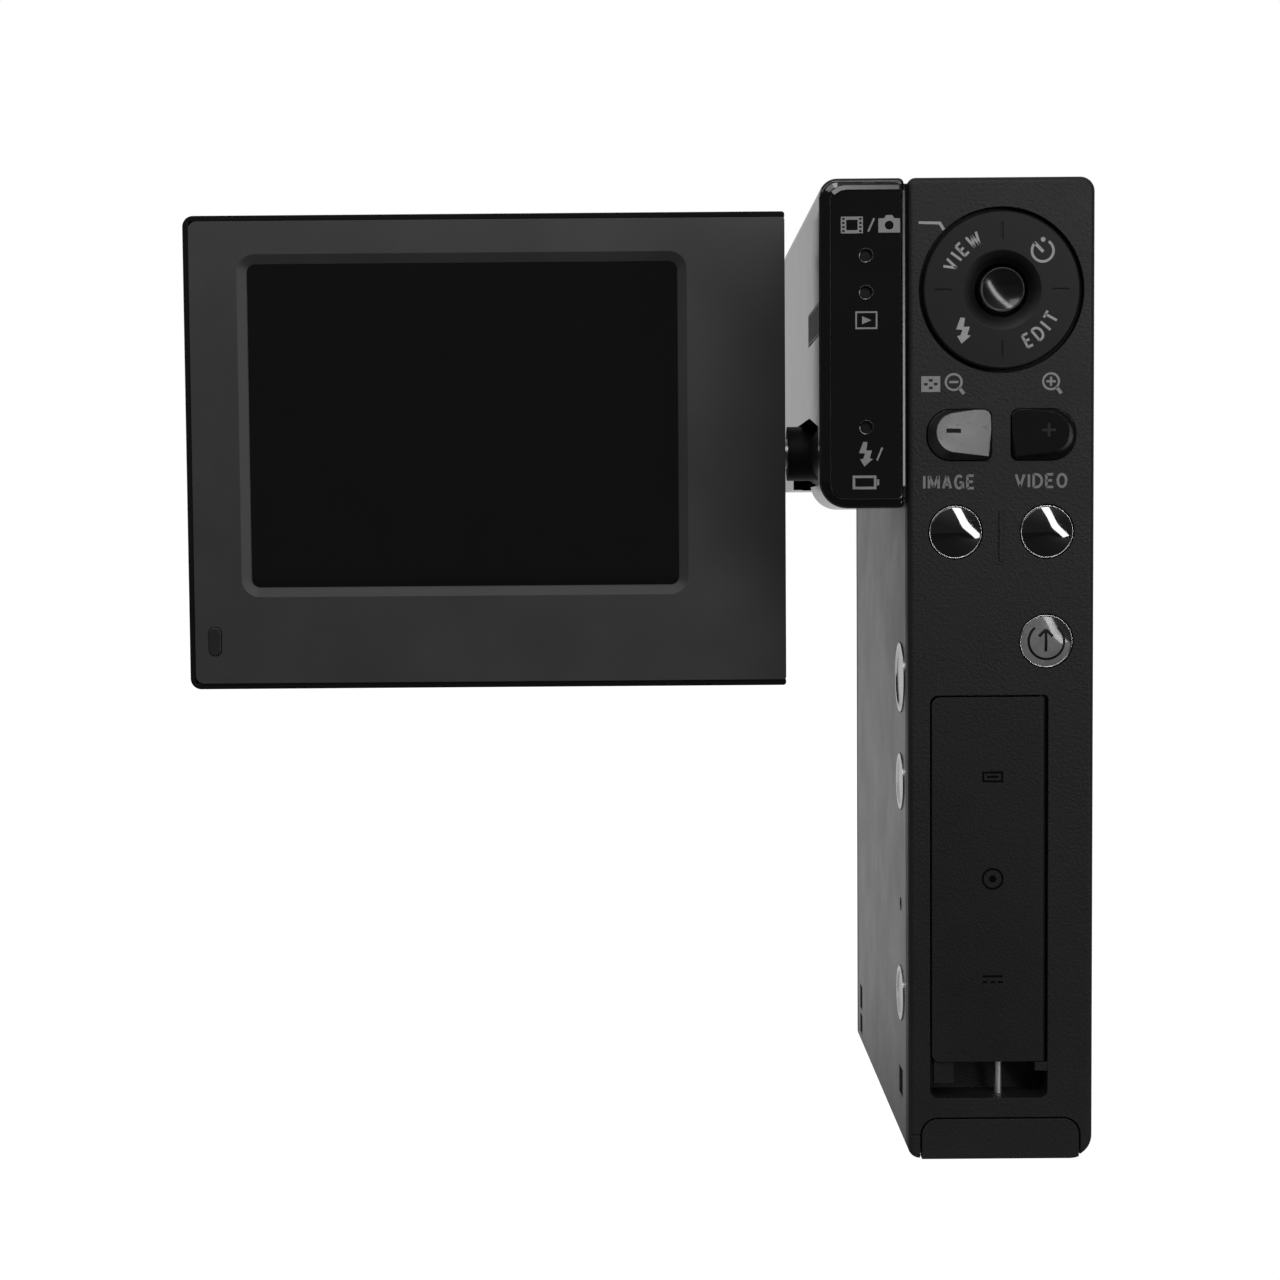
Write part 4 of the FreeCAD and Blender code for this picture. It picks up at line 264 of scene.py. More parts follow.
def brushed(name, colour, rough, along=(1.0, 0.05, 1.0), edge=0.08):
    """Drawn or brushed metal with faint stains."""
    r = Recipe(name)
    edge_wear_and_highlight, normal = r.edges(edge)
    lines = r.noise(0.08, 3.0, 0.7, 0.0, r.stretch(along))
    stain = r.noise(3.0, 4.0)
    # edges lighter: partly wear, partly painted highlight
    shade = r.sum(r.spread(stain, 0.3, 0.7, 0.8, 1.05), r.sum(edge_wear_and_highlight, 0.15, "MULTIPLY"))
    polish = r.sum(r.spread(lines, 0.3, 0.7, rough - 0.08, rough + 0.08), r.spread(stain, 0.4, 0.8, 0.0, 0.08))
    return r.finish(Base_Color=r.tint(colour, shade), Roughness=polish, Metallic=1.0, Normal=r.bump(lines, 0.002, normal))


def clear(name, colour, rough, ior=1.5):
    r = Recipe(name)
    smudge = r.noise(3.0, 4.0)
    polish = r.spread(smudge, 0.4, 0.8, rough, rough + 0.06)
    return r.finish(
        Base_Color=r.tint(colour, r.spread(smudge, 0.3, 0.8, 1.0, 0.9)),
        Roughness=polish,
        Transmission_Weight=1.0,
        IOR=ior,
        Normal=r.bump(r.noise(2.0, 1.0), 0.002),
    )


def circuit(name):
    """Solder mask with copper tracks showing through."""
    r = Recipe(name)
    tracks = r.cells(1.6, "DISTANCE_TO_EDGE", r.stretch((1.0, 1.0, 1.0)))
    line = r.spread(tracks, 0.05, 0.09, 1.0, 0.0)
    weave = r.noise(0.25, 2.0)
    mix = r.add("ShaderNodeMix", data_type="RGBA")
    r.link(line, mix.inputs["Factor"])
    mix.inputs["A"].default_value = (0.01, 0.06, 0.025, 1.0)
    mix.inputs["B"].default_value = (0.03, 0.13, 0.05, 1.0)
    return r.finish(
        Base_Color=mix.outputs["Result"],
        Roughness=r.spread(weave, 0.3, 0.7, 0.3, 0.42),
        Normal=r.bump(r.sum(line, r.sum(weave, 0.3, "MULTIPLY")), 0.02),
    )


BLACK = (0.009, 0.009, 0.0095)

finishes = {
    "grip": leather("grip_leather_grain", BLACK, 0.52, size=0.3, depth=0.028, shine=0.33),
    # the left casing's copy of the grip leather, lighter in colour: painted light on that side
    "flank": leather("side_leather_grain", (0.034, 0.034, 0.035), 0.36, size=0.45, depth=0.03, shine=0.9),
    "flap": leather("flap_leather_grain", (0.008, 0.008, 0.0085), 0.52, size=0.28, depth=0.025, shine=0.3),
    "head": gloss("head_piano_black", (0.004, 0.004, 0.0045), 0.07),
    "panel": gloss("panel_black", (0.005, 0.005, 0.0055), 0.05, edge=0.05),
    "barrel": matte("barrel_black", (0.006, 0.006, 0.006), 0.55, size=0.15, depth=0.004, shine=0.2),
    "hinge_steel": matte("blackened_steel", (0.02, 0.02, 0.02), 0.5, size=0.15, depth=0.003, metal=0.6, shine=0.2),
    "shell": gloss("monitor_shell", (0.006, 0.006, 0.0065), 0.12),
    "bezel": matte("bezel_matte", (0.042, 0.042, 0.043), 0.42, size=0.12, depth=0.003),
    "screen": gloss("screen_window", (0.0045, 0.0045, 0.0046), 0.03, edge=0.02, wave=0.0, smear=0.02, used=0.25),
    "satin": rocker("satin_black", (0.005, 0.005, 0.0053), 0.42),
    "stub": matte("stub_black", (0.02, 0.02, 0.02), 0.35, size=0.1, depth=0.002),
    "stick": gloss("stick_gloss", (0.006, 0.006, 0.006), 0.14, edge=0.08, smear=0.02),
    "key": gloss("key_gloss", (0.004, 0.004, 0.004), 0.12, edge=0.1, smear=0.08),
    "wide_key": gloss("wide_key_gloss", (0.008, 0.008, 0.008), 0.21, edge=0.1, smear=0.1, used=1.5),
    "chrome_black": gloss("black_chrome", (0.125, 0.125, 0.128), 0.04, edge=0.05, metal=1.0, wave=0.001, smear=0.05),
    "silver": share_paint("silver_paint"),
    "chrome_rim": brushed("bright_rim", (0.6, 0.6, 0.61), 0.14, (1.0, 1.0, 1.0), edge=0.02),
    "edge_moulding": gloss("edge_moulding", (0.006, 0.006, 0.006), 0.16, edge=0.02, wave=0.001, used=0.5),
    "emboss": matte("embossed_sign", (0.002, 0.002, 0.002), 0.8, size=0.1, depth=0.002, edge=0.02, shine=0.05),
    "rib": gloss("speaker_rib", (0.13, 0.13, 0.13), 0.24, edge=0.02),
    # lighter than the cap it rings: painted highlight
    "stick_rim": gloss("stick_rim", (0.05, 0.05, 0.05), 0.3, edge=0.02),
    "side": gloss("side_button_gloss", (0.5, 0.5, 0.51), 0.16, edge=0.08, metal=1.0),
    "guide": gloss("smoked_guide", (0.006, 0.006, 0.006), 0.2, edge=0.04),
    "inner": matte("inner_plastic", (0.01, 0.01, 0.0105), 0.6, size=0.3, depth=0.01),
    "cell": matte("battery_shell", (0.05, 0.05, 0.055), 0.5),
    "sleeve": gloss("capacitor_sleeve", (0.015, 0.015, 0.02), 0.25),
    "steel": brushed("drawn_steel", (0.55, 0.55, 0.56), 0.32),
    "bright_bar": brushed("plated_bar", (0.85, 0.85, 0.86), 0.42, (1.0, 1.0, 0.05)),
    "screw": matte("blackened_screw", (0.03, 0.03, 0.03), 0.35, metal=1.0),
    "circuit": circuit("circuit_board"),
    "window": clear("clear_window", (0.85, 0.86, 0.88), 0.05),
    "glass": clear("lens_glass", (0.75, 0.8, 0.85), 0.01),
    "ring": matte("lens_ring", (0.02, 0.02, 0.021), 0.3, size=0.1, depth=0.003),
    "print": ink("print_grey", 0.36),
    "print_dim": ink("print_dim", 0.25),
    "print_words": ink("print_words", 0.2),
    "print_faint": ink("print_faint", 0.014, 0.2),
    "print_dark": ink("print_dark", 0.008, 0.1),
}

NODE_FINISH = {
    "grip": ("rear_cover", "right_casing", "front_cover", "battery_door"),
    "flank": ("left_casing",),
    "flap": ("jack_cover",),
    "head": ("head_cover",),
    "panel": ("indicator_panel",),
    "barrel": ("hinge_barrel",),
    "shell": ("lcd_back_cover",),
    "bezel": ("lcd_bezel",),
    "screen": ("lcd_window",),
    "satin": ("selector_ring",),
    "stub": ("lcd_latch",),
    "stick": ("joystick_cap",),
    "wide_key": ("zoom_wide_key",),
    "key": ("zoom_tele_key",),
    "chrome_black": ("photo_button", "movie_button"),
    "silver": ("share_button",),
    "side": ("power_button", "playback_button", "display_button"),
    "guide": ("indicator_lights",),
    "inner": (
        "battery_bay", "memory_card", "av_socket", "dc_socket", "lens_housing", "image_sensor",
        "battery_latch", "selector_gimbal", "joystick_plunger", "joystick_rocker",
    ),
    "cell": ("battery_pack",),
    "sleeve": ("flash_capacitor",),
    "steel": (
        "flash_reflector", "speaker", "card_socket", "dome_switches", "usb_socket",
        "lens_guide_rods", "lens_motors", "microphones", "tripod_socket", "swivel_shaft", "lcd_module",
    ),
    "hinge_steel": ("hinge_bracket", "fold_axle"),
    "bright_bar": ("strap_bar",),
    "screw": ("casing_screws", "lcd_screws"),
    "circuit": ("main_board", "key_board", "side_key_board"),
    "window": ("flash_window",),
    "glass": ("front_glass", "zoom_lens_group", "focus_lens_group"),
    "ring": ("lens_ring",),
}


def dress(piece, finish):
    piece.data.materials.clear()
    piece.data.materials.append(finishes[finish])


def dress_nodes():
    dressed = set()
    for finish, names in NODE_FINISH.items():
        for name in names:
            dress(nodes[name], finish)
            dressed.add(name)
    bare = set(nodes) - dressed
    if bare:
        raise RuntimeError("nodes with no finish: %s" % sorted(bare))


# ---- printed marks -------------------------------------------------------------------------------------

REAR_FACING = Matrix.Rotation(math.radians(90), 4, "X")


def on_rear(x, z, y=REAR, turn=0.0):
    """The place of flat artwork on a face that looks backwards; turn is anticlockwise, in degrees."""
    return (
        Matrix.Translation(Vector((x, y, z)) * MM) @ REAR_FACING @ Matrix.Rotation(math.radians(turn), 4, "Z")
    )


def flat_curve(strokes, thick):
    """2D artwork in millimetres: closed outlines, filled, with a little thickness."""
    curve = bpy.data.curves.new("artwork", "CURVE")
    curve.dimensions = "2D"
    curve.fill_mode = "BOTH"
    curve.extrude = thick / 2
    for points in strokes:
        spline = curve.splines.new("POLY")
        spline.points.add(len(points) - 1)
        for point, (x, y) in zip(spline.points, points):
            point.co = (x, y, 0.0, 1.0)
        spline.use_cyclic_u = True
    return curve


def mesh_of(curve, before=Matrix.Identity(4)):
    holder = bpy.data.objects.new("holder", curve)
    bpy.context.scene.collection.objects.link(holder)
    evaluated = holder.evaluated_get(bpy.context.evaluated_depsgraph_get())
    mesh = bpy.data.meshes.new_from_object(evaluated)
    bpy.data.objects.remove(holder)
    mesh.transform(before)
    return mesh


THICK = 0.03  # thickness of printed marks, mm
PROUD = 0.006  # how far their middle stands ahead of the face, mm


def mark(name, items, body, finish):
    """One closed mesh from several (mesh, place) pairs, riding on a body."""
    built = bmesh.new()
    for mesh, place in items:
        mesh.transform(place @ Matrix.Translation((0, 0, PROUD * MM)) @ Matrix.Scale(MM, 4))
        built.from_mesh(mesh)
    bmesh.ops.remove_doubles(built, verts=built.verts, dist=0.0000005)
    bmesh.ops.recalc_face_normals(built, faces=built.faces)
    final = bpy.data.meshes.new(name)
    built.to_mesh(final)
    built.free()
    piece = bpy.data.objects.new(name, final)
    bpy.context.scene.collection.objects.link(piece)
    final.materials.append(finishes[finish])
    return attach(piece, body)


def bow(x, y, wide, high, start, end, steps=12):
    """Points along part of an ellipse, from one angle to another."""
    turns = [math.radians(start + (end - start) * k / steps) for k in range(steps + 1)]
    return [(x + wide * math.cos(a), y + high * math.sin(a)) for a in turns]


# Letters as strokes in a box one wide and one high, and how wide that box is for a height of one.
GLYPHS = {
    "A": (0.62, [[(0, 0), (0.47, 1)], [(0.53, 1), (1, 0)], [(0.22, 0.3), (0.78, 0.3)]]),
    "D": (0.62, [[(0, 0), (0, 1)], [(0, 1), *bow(0.35, 0.5, 0.65, 0.5, 90, -90), (0, 0)]]),
    "E": (0.52, [[(0, 0), (0, 1)], [(0, 1), (1, 1)], [(0, 0.52), (0.85, 0.52)], [(0, 0), (1, 0)]]),
    "G": (0.62, [bow(0.5, 0.5, 0.5, 0.5, 48, 318, 20), [(1, 0.0), (1, 0.46)], [(0.55, 0.46), (1, 0.46)]]),
    "I": (0.02, [[(0.5, 0), (0.5, 1)]]),
    "M": (0.80, [[(0, 0), (0, 1)], [(0.07, 0.97), (0.5, 0.1)], [(0.5, 0.1), (0.93, 0.97)], [(1, 0), (1, 1)]]),
    "O": (0.64, [bow(0.5, 0.5, 0.5, 0.5, 0, 360, 24)]),
    "T": (0.60, [[(0, 1), (1, 1)], [(0.5, 0), (0.5, 1)]]),
        "V": (0.62, [[(0, 1), (0.5, 0.02)], [(0.5, 0.02), (1, 1)]]),
    "W": (1.00, [[(0, 1), (0.25, 0)], [(0.25, 0), (0.5, 0.9)], [(0.5, 0.9), (0.75, 0)], [(0.75, 0), (1, 1)]]),
}


def ribbon(points, width):
    """A stroke of constant width along a line of points, as a closed strip with a little thickness."""
    path = [Vector(point) for point in points]
    closed = (path[0] - path[-1]).length < 1e-6
    if closed:
        path.pop()
    count = len(path)
    corners = []
    for k, point in enumerate(path):
        before = path[k - 1] if closed or k else point
        after = path[(k + 1) % count] if closed or k + 1 < count else point
        back, ahead = point - before, after - point
        along = (back.normalized() if back.length else ahead.normalized()) + (
            ahead.normalized() if ahead.length else back.normalized()
        )
        across = Vector((-along.y, along.x)).normalized()
        along = ahead if ahead.length else back
        reach = width / 2 / max(0.6, abs(across.dot(Vector((-along.y, along.x)).normalized())))
        for side in (1, -1):
            corner = point + across * reach * side
            corners += [(corner.x, corner.y, THICK / 2), (corner.x, corner.y, -THICK / 2)]
    faces = []
    for k in range(count if closed else count - 1):
        a, b = 4 * k, 4 * ((k + 1) % count)
        faces += [(a, a + 2, b + 2, b), (a + 1, b + 1, b + 3, a + 3), (a, b, b + 1, a + 1), (a + 2, a + 3, b + 3, b + 2)]
    if not closed:
        last = 4 * (count - 1)
        faces += [(0, 1, 3, 2), (last, last + 2, last + 3, last + 1)]
    mesh = bpy.data.meshes.new("stroke")
    mesh.from_pydata(corners, [], faces)
    return mesh


def word(text, height, wide, stroke):
    """A word with the given height and overall width, centred, as a list of strokes."""
    gap = stroke * 0.8
    boxes = [GLYPHS[letter][0] for letter in text]
    spare = wide - len(text) * stroke - (len(text) - 1) * gap
    unit = spare / sum(boxes)
    strokes, left = [], -wide / 2
    for letter, share in zip(text, boxes):
        for line in GLYPHS[letter][1]:
            points = [
                (left + stroke / 2 + x * share * unit, (y - 0.5) * (height - stroke)) for x, y in line
            ]
            strokes.append(ribbon(points, stroke))
        left += stroke + share * unit + gap
    return strokes


def put(strokes, place):
    return [(mesh, place) for mesh in strokes]


def drawing(*strokes):
    return mesh_of(flat_curve(strokes, THICK))


def ring(radius, width, steps=40, start=0.0, sweep=360.0):
    """A ring, or an open arc with a constant width."""
    inner, outer = radius - width / 2, radius + width / 2
    if sweep >= 360.0:
        turns = [math.radians(360.0 * k / steps) for k in range(steps)]
        return [
            [(outer * math.cos(a), outer * math.sin(a)) for a in turns],
            [(inner * math.cos(a), inner * math.sin(a)) for a in turns],
        ]
    turns = [math.radians(start + sweep * k / steps) for k in range(steps + 1)]
    points = [(outer * math.cos(a), outer * math.sin(a)) for a in turns]
    points += [(inner * math.cos(a), inner * math.sin(a)) for a in reversed(turns)]
    return [points]


def bar(start, end, width):
    """A straight stroke."""
    along = Vector((end[0] - start[0], end[1] - start[1])).normalized() * (width / 2)
    across = Vector((-along.y, along.x))
    return [
        (start[0] + across.x, start[1] + across.y),
        (start[0] - across.x, start[1] - across.y),
        (end[0] - across.x, end[1] - across.y),
        (end[0] + across.x, end[1] + across.y),
    ]


def oblong(left, low, right, top):
    return [(left, low), (right, low), (right, top), (left, top)]


def disc(x, y, radius, steps=20):
    turns = [2 * math.pi * k / steps for k in range(steps)]
    return [(x + radius * math.cos(a), y + radius * math.sin(a)) for a in turns]


BOLT = [
    (-0.30, 1.41), (0.19, 1.36), (0.04, 0.41), (0.70, 0.41), (0.44, -0.49), (0.81, -0.56),
    (-0.18, -1.42), (-0.67, -0.59), (-0.30, -0.52), (-0.10, 0.07), (-0.78, 0.12),
]


def scaled(points, by):
    return [(x * by, y * by) for x, y in points]


def selector_marks():
    """Two curved words, a timer and a bolt on the selector ring."""
    height, radius = 1.66, 6.15
    widths = {"V": 1.16, "I": 0.28, "E": 0.9, "W": 1.5, "D": 1.08, "T": 1.1}
    items = []
    for letter, angle in (("V", 154.2), ("I", 143.8), ("E", 134.5), ("W", 119.6)):
        items += put(word(letter, height, widths[letter], 0.27), polar(radius, angle, angle - 90.0))
    for letter, angle in (("E", -63.0), ("D", -49.9), ("I", -39.6), ("T", -29.3)):
        items += put(word(letter, height, widths[letter], 0.27), polar(radius, angle, angle + 90.0))
    mark("selector_words", items, "selector", "print")
    arc = drawing(*ring(1.17, 0.28, start=57.0, sweep=-285.0))
    hand = drawing(bar((-0.9, 0.9), (0.05, -0.12), 0.34))
    dot = drawing(disc(0.04, 1.2, 0.26))
    place = on_rear(4.42, 99.95, RING)
    mark("selector_timer", [(arc, place), (hand, place), (dot, place)], "selector", "print")
    mark("selector_bolt", [(drawing(BOLT), on_rear(-4.2, 91.4, RING))], "selector", "print")


def polar(radius, angle, turn):
    a = math.radians(angle)
    return on_rear(DIAL[0] + radius * math.cos(a), DIAL[1] + radius * math.sin(a), RING, turn)


def magnifier(sign):
    """A ring with a handle; the sign inside is minus, or plus."""
    meshes = [drawing(*ring(0.86, 0.24)), drawing(bar((0.62, -0.62), (1.12, -1.32), 0.36))]
    meshes.append(drawing(bar((-0.5, 0.0), (0.5, 0.0), 0.24)))
    if sign == "plus":
        meshes.append(drawing(bar((0.0, 0.12), (0.0, 0.5), 0.24)))
        meshes.append(drawing(bar((0.0, -0.5), (0.0, -0.12), 0.24)))
    return meshes


def index_sign():
    """A block with four windows between its corners and its middle, for the index view."""
    block = [oblong(-1.03, -0.86, 1.03, 0.86)]
    for x, z in ((0.0, 0.4), (0.0, -0.42), (-0.54, -0.02), (0.54, 0.0)):
        block.append(oblong(x - 0.2, z - 0.14, x + 0.2, z + 0.14))
    return drawing(*block)


def rear_marks():
    """Words and signs printed on the grip's rear cover."""
    items = put(word("IMAGE", 1.64, 5.7, 0.28), on_rear(-5.72, 74.98))
    items += put(word("VIDEO", 1.66, 5.75, 0.28), on_rear(4.34, 75.06))
    mark("record_words", items, "root", "print_words")
    items = [(index_sign(), on_rear(-7.7, 85.65))]
    items += [(mesh, on_rear(-5.2, 85.85)) for mesh in magnifier("minus")]
    items += [(mesh, on_rear(5.4, 85.85)) for mesh in magnifier("plus")]
    mark("zoom_signs", items, "root", "print_dim")
    line = [(-9.0, 103.24), (-9.0, 102.96), (-6.8, 102.88), (-6.42, 102.2), (-6.12, 102.4), (-6.62, 103.18)]
    mark("mode_line", [(drawing([(x, z) for x, z in line]), on_rear(0.0, 0.0))], "root", "print")


def panel_marks():
    """Signs on the indicator panel beside its lights."""
    film = [oblong(-1.2, -0.9, 1.2, 0.9), oblong(-0.62, -0.56, 0.62, 0.56)]
    for x in (-0.92, 0.92):
        for step in (-0.66, -0.22, 0.22, 0.66):
            film.append(oblong(x - 0.13, step - 0.11, x + 0.13, step + 0.11))
    items = [(drawing(*film), on_rear(-16.25, 102.9))]
    items.append((drawing(bar((-0.33, -0.72), (0.33, 0.72), 0.2)), on_rear(-14.15, 102.9)))
    body = [(-1.18, -0.9), (1.18, -0.9), (1.18, 0.62), (0.55, 0.66), (0.35, 0.98), (-0.35, 0.98), (-0.55, 0.66), (-1.18, 0.62)]
    items.append((drawing(body, disc(0.0, -0.1, 0.48)), on_rear(-12.2, 102.95)))
    frame_line = [oblong(-1.2, -0.96, 1.2, 0.96), oblong(-1.02, -0.78, 1.02, 0.78)]
    items.append((drawing(*frame_line), on_rear(-14.7, 92.62)))
    items.append((drawing([(-0.42, -0.44), (0.6, 0.0), (-0.42, 0.44)]), on_rear(-14.75, 92.62)))
    items.append((drawing(scaled(BOLT, 0.95)), on_rear(-14.78, 78.1)))
    items.append((drawing(bar((-0.3, -0.7), (0.3, 0.7), 0.2)), on_rear(-13.28, 78.1)))
    cell = drawing(oblong(-1.4, -0.75, 1.2, 0.75), oblong(-1.12, -0.47, 0.92, 0.47))
    items += put([cell, drawing(oblong(1.26, -0.32, 1.5, 0.32))], on_rear(-14.83, 75.02))
    mark("panel_signs", items, "root", "print_dim")


KEY_LEAN, KEY_TIP = 8.5, 7.0  # degrees the touch faces lean towards the middle and upwards
KEY_MIDDLE = (4.6, REAR - 0.85, 80.1)  # middle of the right key's touch face, mm


def on_key(side, x, z):
    """The place of a letter on a leaning key; x and z are measured from the middle of its face."""
    centre = Vector((side * KEY_MIDDLE[0], KEY_MIDDLE[1], KEY_MIDDLE[2])) * MM
    lean = Matrix.Rotation(math.radians(-side * KEY_LEAN), 4, "Z")
    tip = Matrix.Rotation(math.radians(-KEY_TIP), 4, "X")
    return Matrix.Translation(centre) @ tip @ lean @ Matrix.Translation(Vector((x, -0.04, z)) * MM) @ REAR_FACING


def turned_ring(name, profile, centre, body, finish, steps=48):
    """A closed ring round a line that runs backwards; the profile holds (radius, depth) pairs in mm."""
    built = bmesh.new()
    loops = []
    for k in range(steps):
        a = 2 * math.pi * k / steps
        loops.append([
            built.verts.new(Vector((centre[0] + r * math.cos(a), y, centre[1] + r * math.sin(a))) * MM)
            for r, y in profile
        ])
    for k, loop in enumerate(loops):
        other = loops[(k + 1) % steps]
        for j in range(len(profile)):
            nxt = (j + 1) % len(profile)
            built.faces.new((loop[j], loop[nxt], other[nxt], other[j])).smooth = True
    bmesh.ops.remove_doubles(built, verts=built.verts, dist=1e-8)
    bmesh.ops.recalc_face_normals(built, faces=built.faces)
    final = bpy.data.meshes.new(name)
    built.to_mesh(final)
    built.free()
    piece = bpy.data.objects.new(name, final)
    bpy.context.scene.collection.objects.link(piece)
    final.materials.append(finishes[finish])
    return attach(piece, body)


def bead(radius, thick, level, steps=10):
    """The profile of a thin round wire bent into a ring."""
    turns = [2 * math.pi * k / steps for k in range(steps)]
    return [(radius + thick * math.cos(a), level + thick * math.sin(a)) for a in turns]


def light_rims():
    """Raised lips round the three indicator lights, sloping in to each hole."""
    lip = [(0.60, REAR), (0.66, REAR - 0.008), (0.72, REAR - 0.022), (0.79, REAR - 0.045), (0.83, REAR - 0.02), (0.84, REAR + 0.02), (0.60, REAR + 0.02)]
    for name, height in (("movie", 99.6), ("photo", 95.6), ("charge", 80.98)):
        turned_ring(name + "_light_lip", lip, (-14.74, height), "root", "panel")


DOMES = (("photo", -5.0, 69.5, "chrome_black"), ("movie", 5.0, 69.5, "chrome_black"), ("share", 4.94, 57.5, "silver"))
DOME_FRONT = REAR - 0.45
DOME_SLOPE, DOME_POWER = 0.177, 1.52  # a dome falls by slope * r ** power / power, mm


def dome_fall(reach):
    return DOME_SLOPE * reach**DOME_POWER / DOME_POWER


def key_domes():
    """The polished skin of each domed key and the bright wire round its edge."""
    radii = [2.8 * (k / 24.0) for k in range(25)]
    for body, x, z, finish in DOMES:
        skin = [(r, DOME_FRONT + dome_fall(r) - 0.006) for r in radii] + [(2.8, REAR + 0.2), (0.0, REAR + 0.2)]
        turned_ring(body + "_dome", skin, (x, z), body, finish, 96)
        turned_ring(body + "_rim", bead(2.82, 0.075, REAR + 0.1), (x, z), body, "chrome_rim", 96)


def stick_rim():
    """A thin bead round the joystick cap's edge, lighter than the cap: painted highlight."""
    turned_ring("stick_rim", bead(2.34, 0.05, REAR - 0.5), DIAL, "joystick", "stick_rim")


def sloped_strip(name, points, width, back, slope_x, slope_z):
    """A thin moulding on the panel's edge; its face falls by slope_x and slope_z for each mm across."""
    mesh = ribbon(points, width)
    x0, z0 = points[0]
    for vertex in mesh.vertices:
        front = vertex.co.z > 0
        vertex.co.z = -PROUD - 0.02
        if front:
            vertex.co.z = back - PROUD - slope_x * (vertex.co.x - x0) - slope_z * (vertex.co.y - z0)
    mark(name, [(mesh, on_rear(0.0, 0.0))], "root", "edge_moulding")


def panel_edges():
    """Sloping edges along the top and the right of the indicator panel."""
    top = [(-11.1, 106.93), (-14.0, 106.93), (-16.9, 106.93), (-17.5, 106.83), (-18.0, 106.55), (-18.35, 106.3)]
    sloped_strip("panel_top_edge", top, 0.5, 0.1, 0.0, 0.27)
    right = [(-10.62, 106.6 - 2.0 * k) for k in range(17)]
    sloped_strip("panel_right_edge", right, 0.26, 0.05, 0.245, 0.0)


SHARE = (4.94, 57.5)


def share_sign():
    """An arrow rising out of an open ring, laid on the domed share key."""
    lines = [
        (bow(0.0, 0.0, 1.95, 1.95, 130, 410, 40), 0.26),
        ([(-0.1 + 0.0 * k, -1.1 + 0.3 * k) for k in range(9)], 0.3),
        ([(-0.85 + 0.15 * k, 0.55 + 0.15 * k) for k in range(6)], 0.3),
        ([(-0.1 + 0.15 * k, 1.3 - 0.15 * k) for k in range(6)], 0.3),
    ]
    items = []
    for points, width in lines:
        mesh = ribbon(points, width)
        for vertex in mesh.vertices:
            reach = math.hypot(vertex.co.x, vertex.co.y)
            vertex.co.z -= dome_fall(reach)
        items.append((mesh, on_rear(*SHARE, REAR - 0.45)))
    mark("share_sign", items, "share", "print_dark")


def speaker_hatch():
    """Fine upright ribs in a narrow frame over the speaker, on the head block's left face."""
    back, front, low, high = 45.0, 31.0, 91.3, 94.5
    place = Matrix.Translation(Vector((-19.8, 0.0, 0.0)) * MM) @ Matrix.Rotation(math.radians(-90), 4, "Z") @ REAR_FACING
    edge = [(back, low), (front, low), (front, high), (back, high), (back, low)]
    items = [(ribbon(edge, 0.3), place)]
    count = 22
    for k in range(1, count):
        across = back + (front - back) * k / count
        items.append((ribbon([(across, low), (across, high)], 0.14), place))
    mark("speaker_ribs", items, "root", "rib")


def key_marks():
    minus = [drawing(bar((-0.8, 0.0), (0.8, 0.0), 0.46))]
    mark("wide_letter", put(minus, on_key(-1, -0.74, 0.42)), "zoom_wide", "print_dark")
    plus = [bar((-0.75, 0.0), (0.75, 0.0), 0.3), bar((0.0, 0.16), (0.0, 0.75), 0.3), bar((0.0, -0.75), (0.0, -0.16), 0.3)]
    mark("tele_letter", put([drawing(line) for line in plus], on_key(1, 0.43, 0.41)), "zoom_tele", "print_faint")


def jack_marks():
    """Plain raised signs over each socket: a flat socket, a round jack and a direct-current sign."""
    items = [(drawing(oblong(-1.15, -0.6, 1.15, 0.6), oblong(-0.93, -0.38, 0.93, 0.38)), on_rear(-0.9, 42.6))]
    items += [(drawing(oblong(-0.6, -0.12, 0.6, 0.12)), on_rear(-0.9, 42.6))]
    items += [(drawing(*ring(1.1, 0.22)), on_rear(-0.9, 31.3)), (drawing(disc(0, 0, 0.4)), on_rear(-0.9, 31.3))]
    items += [(drawing(bar((-1.1, 0.35), (1.1, 0.35), 0.22)), on_rear(-0.9, 20.1))]
    for x in (-1.1, -0.25, 0.6):
        items += [(drawing(bar((x, -0.3), (x + 0.5, -0.3), 0.22)), on_rear(-0.9, 20.1))]
    mark("jack_signs", items, "jack_flap", "emboss")


# ---- studio --------------------------------------------------------------------------------------------

CAMERA_AT = Vector((-39.17, -275.35, 69.85)) * MM
CAMERA_TILT, CAMERA_ROLL, CAMERA_PAN = 2.965, -0.438, -0.105  # degrees
CAMERA_LENS = 58.9  # mm, on a 36 mm sensor


def studio_camera():
    data = bpy.data.cameras.new("studio_camera")
    data.lens = CAMERA_LENS
    data.clip_start, data.clip_end = 0.01, 20.0
    camera = bpy.data.objects.new("studio_camera", data)
    bpy.context.scene.collection.objects.link(camera)
    world_to_camera = (
        Matrix.Rotation(math.radians(CAMERA_PAN), 3, "Z")
        @ Matrix.Rotation(math.radians(CAMERA_ROLL), 3, "Y")
        @ Matrix.Rotation(math.radians(CAMERA_TILT), 3, "X")
    )
    turn = world_to_camera.transposed() @ Matrix.Rotation(math.radians(90), 3, "X")
    camera.matrix_world = Matrix.Translation(CAMERA_AT) @ turn.to_4x4()
    bpy.context.scene.camera = camera


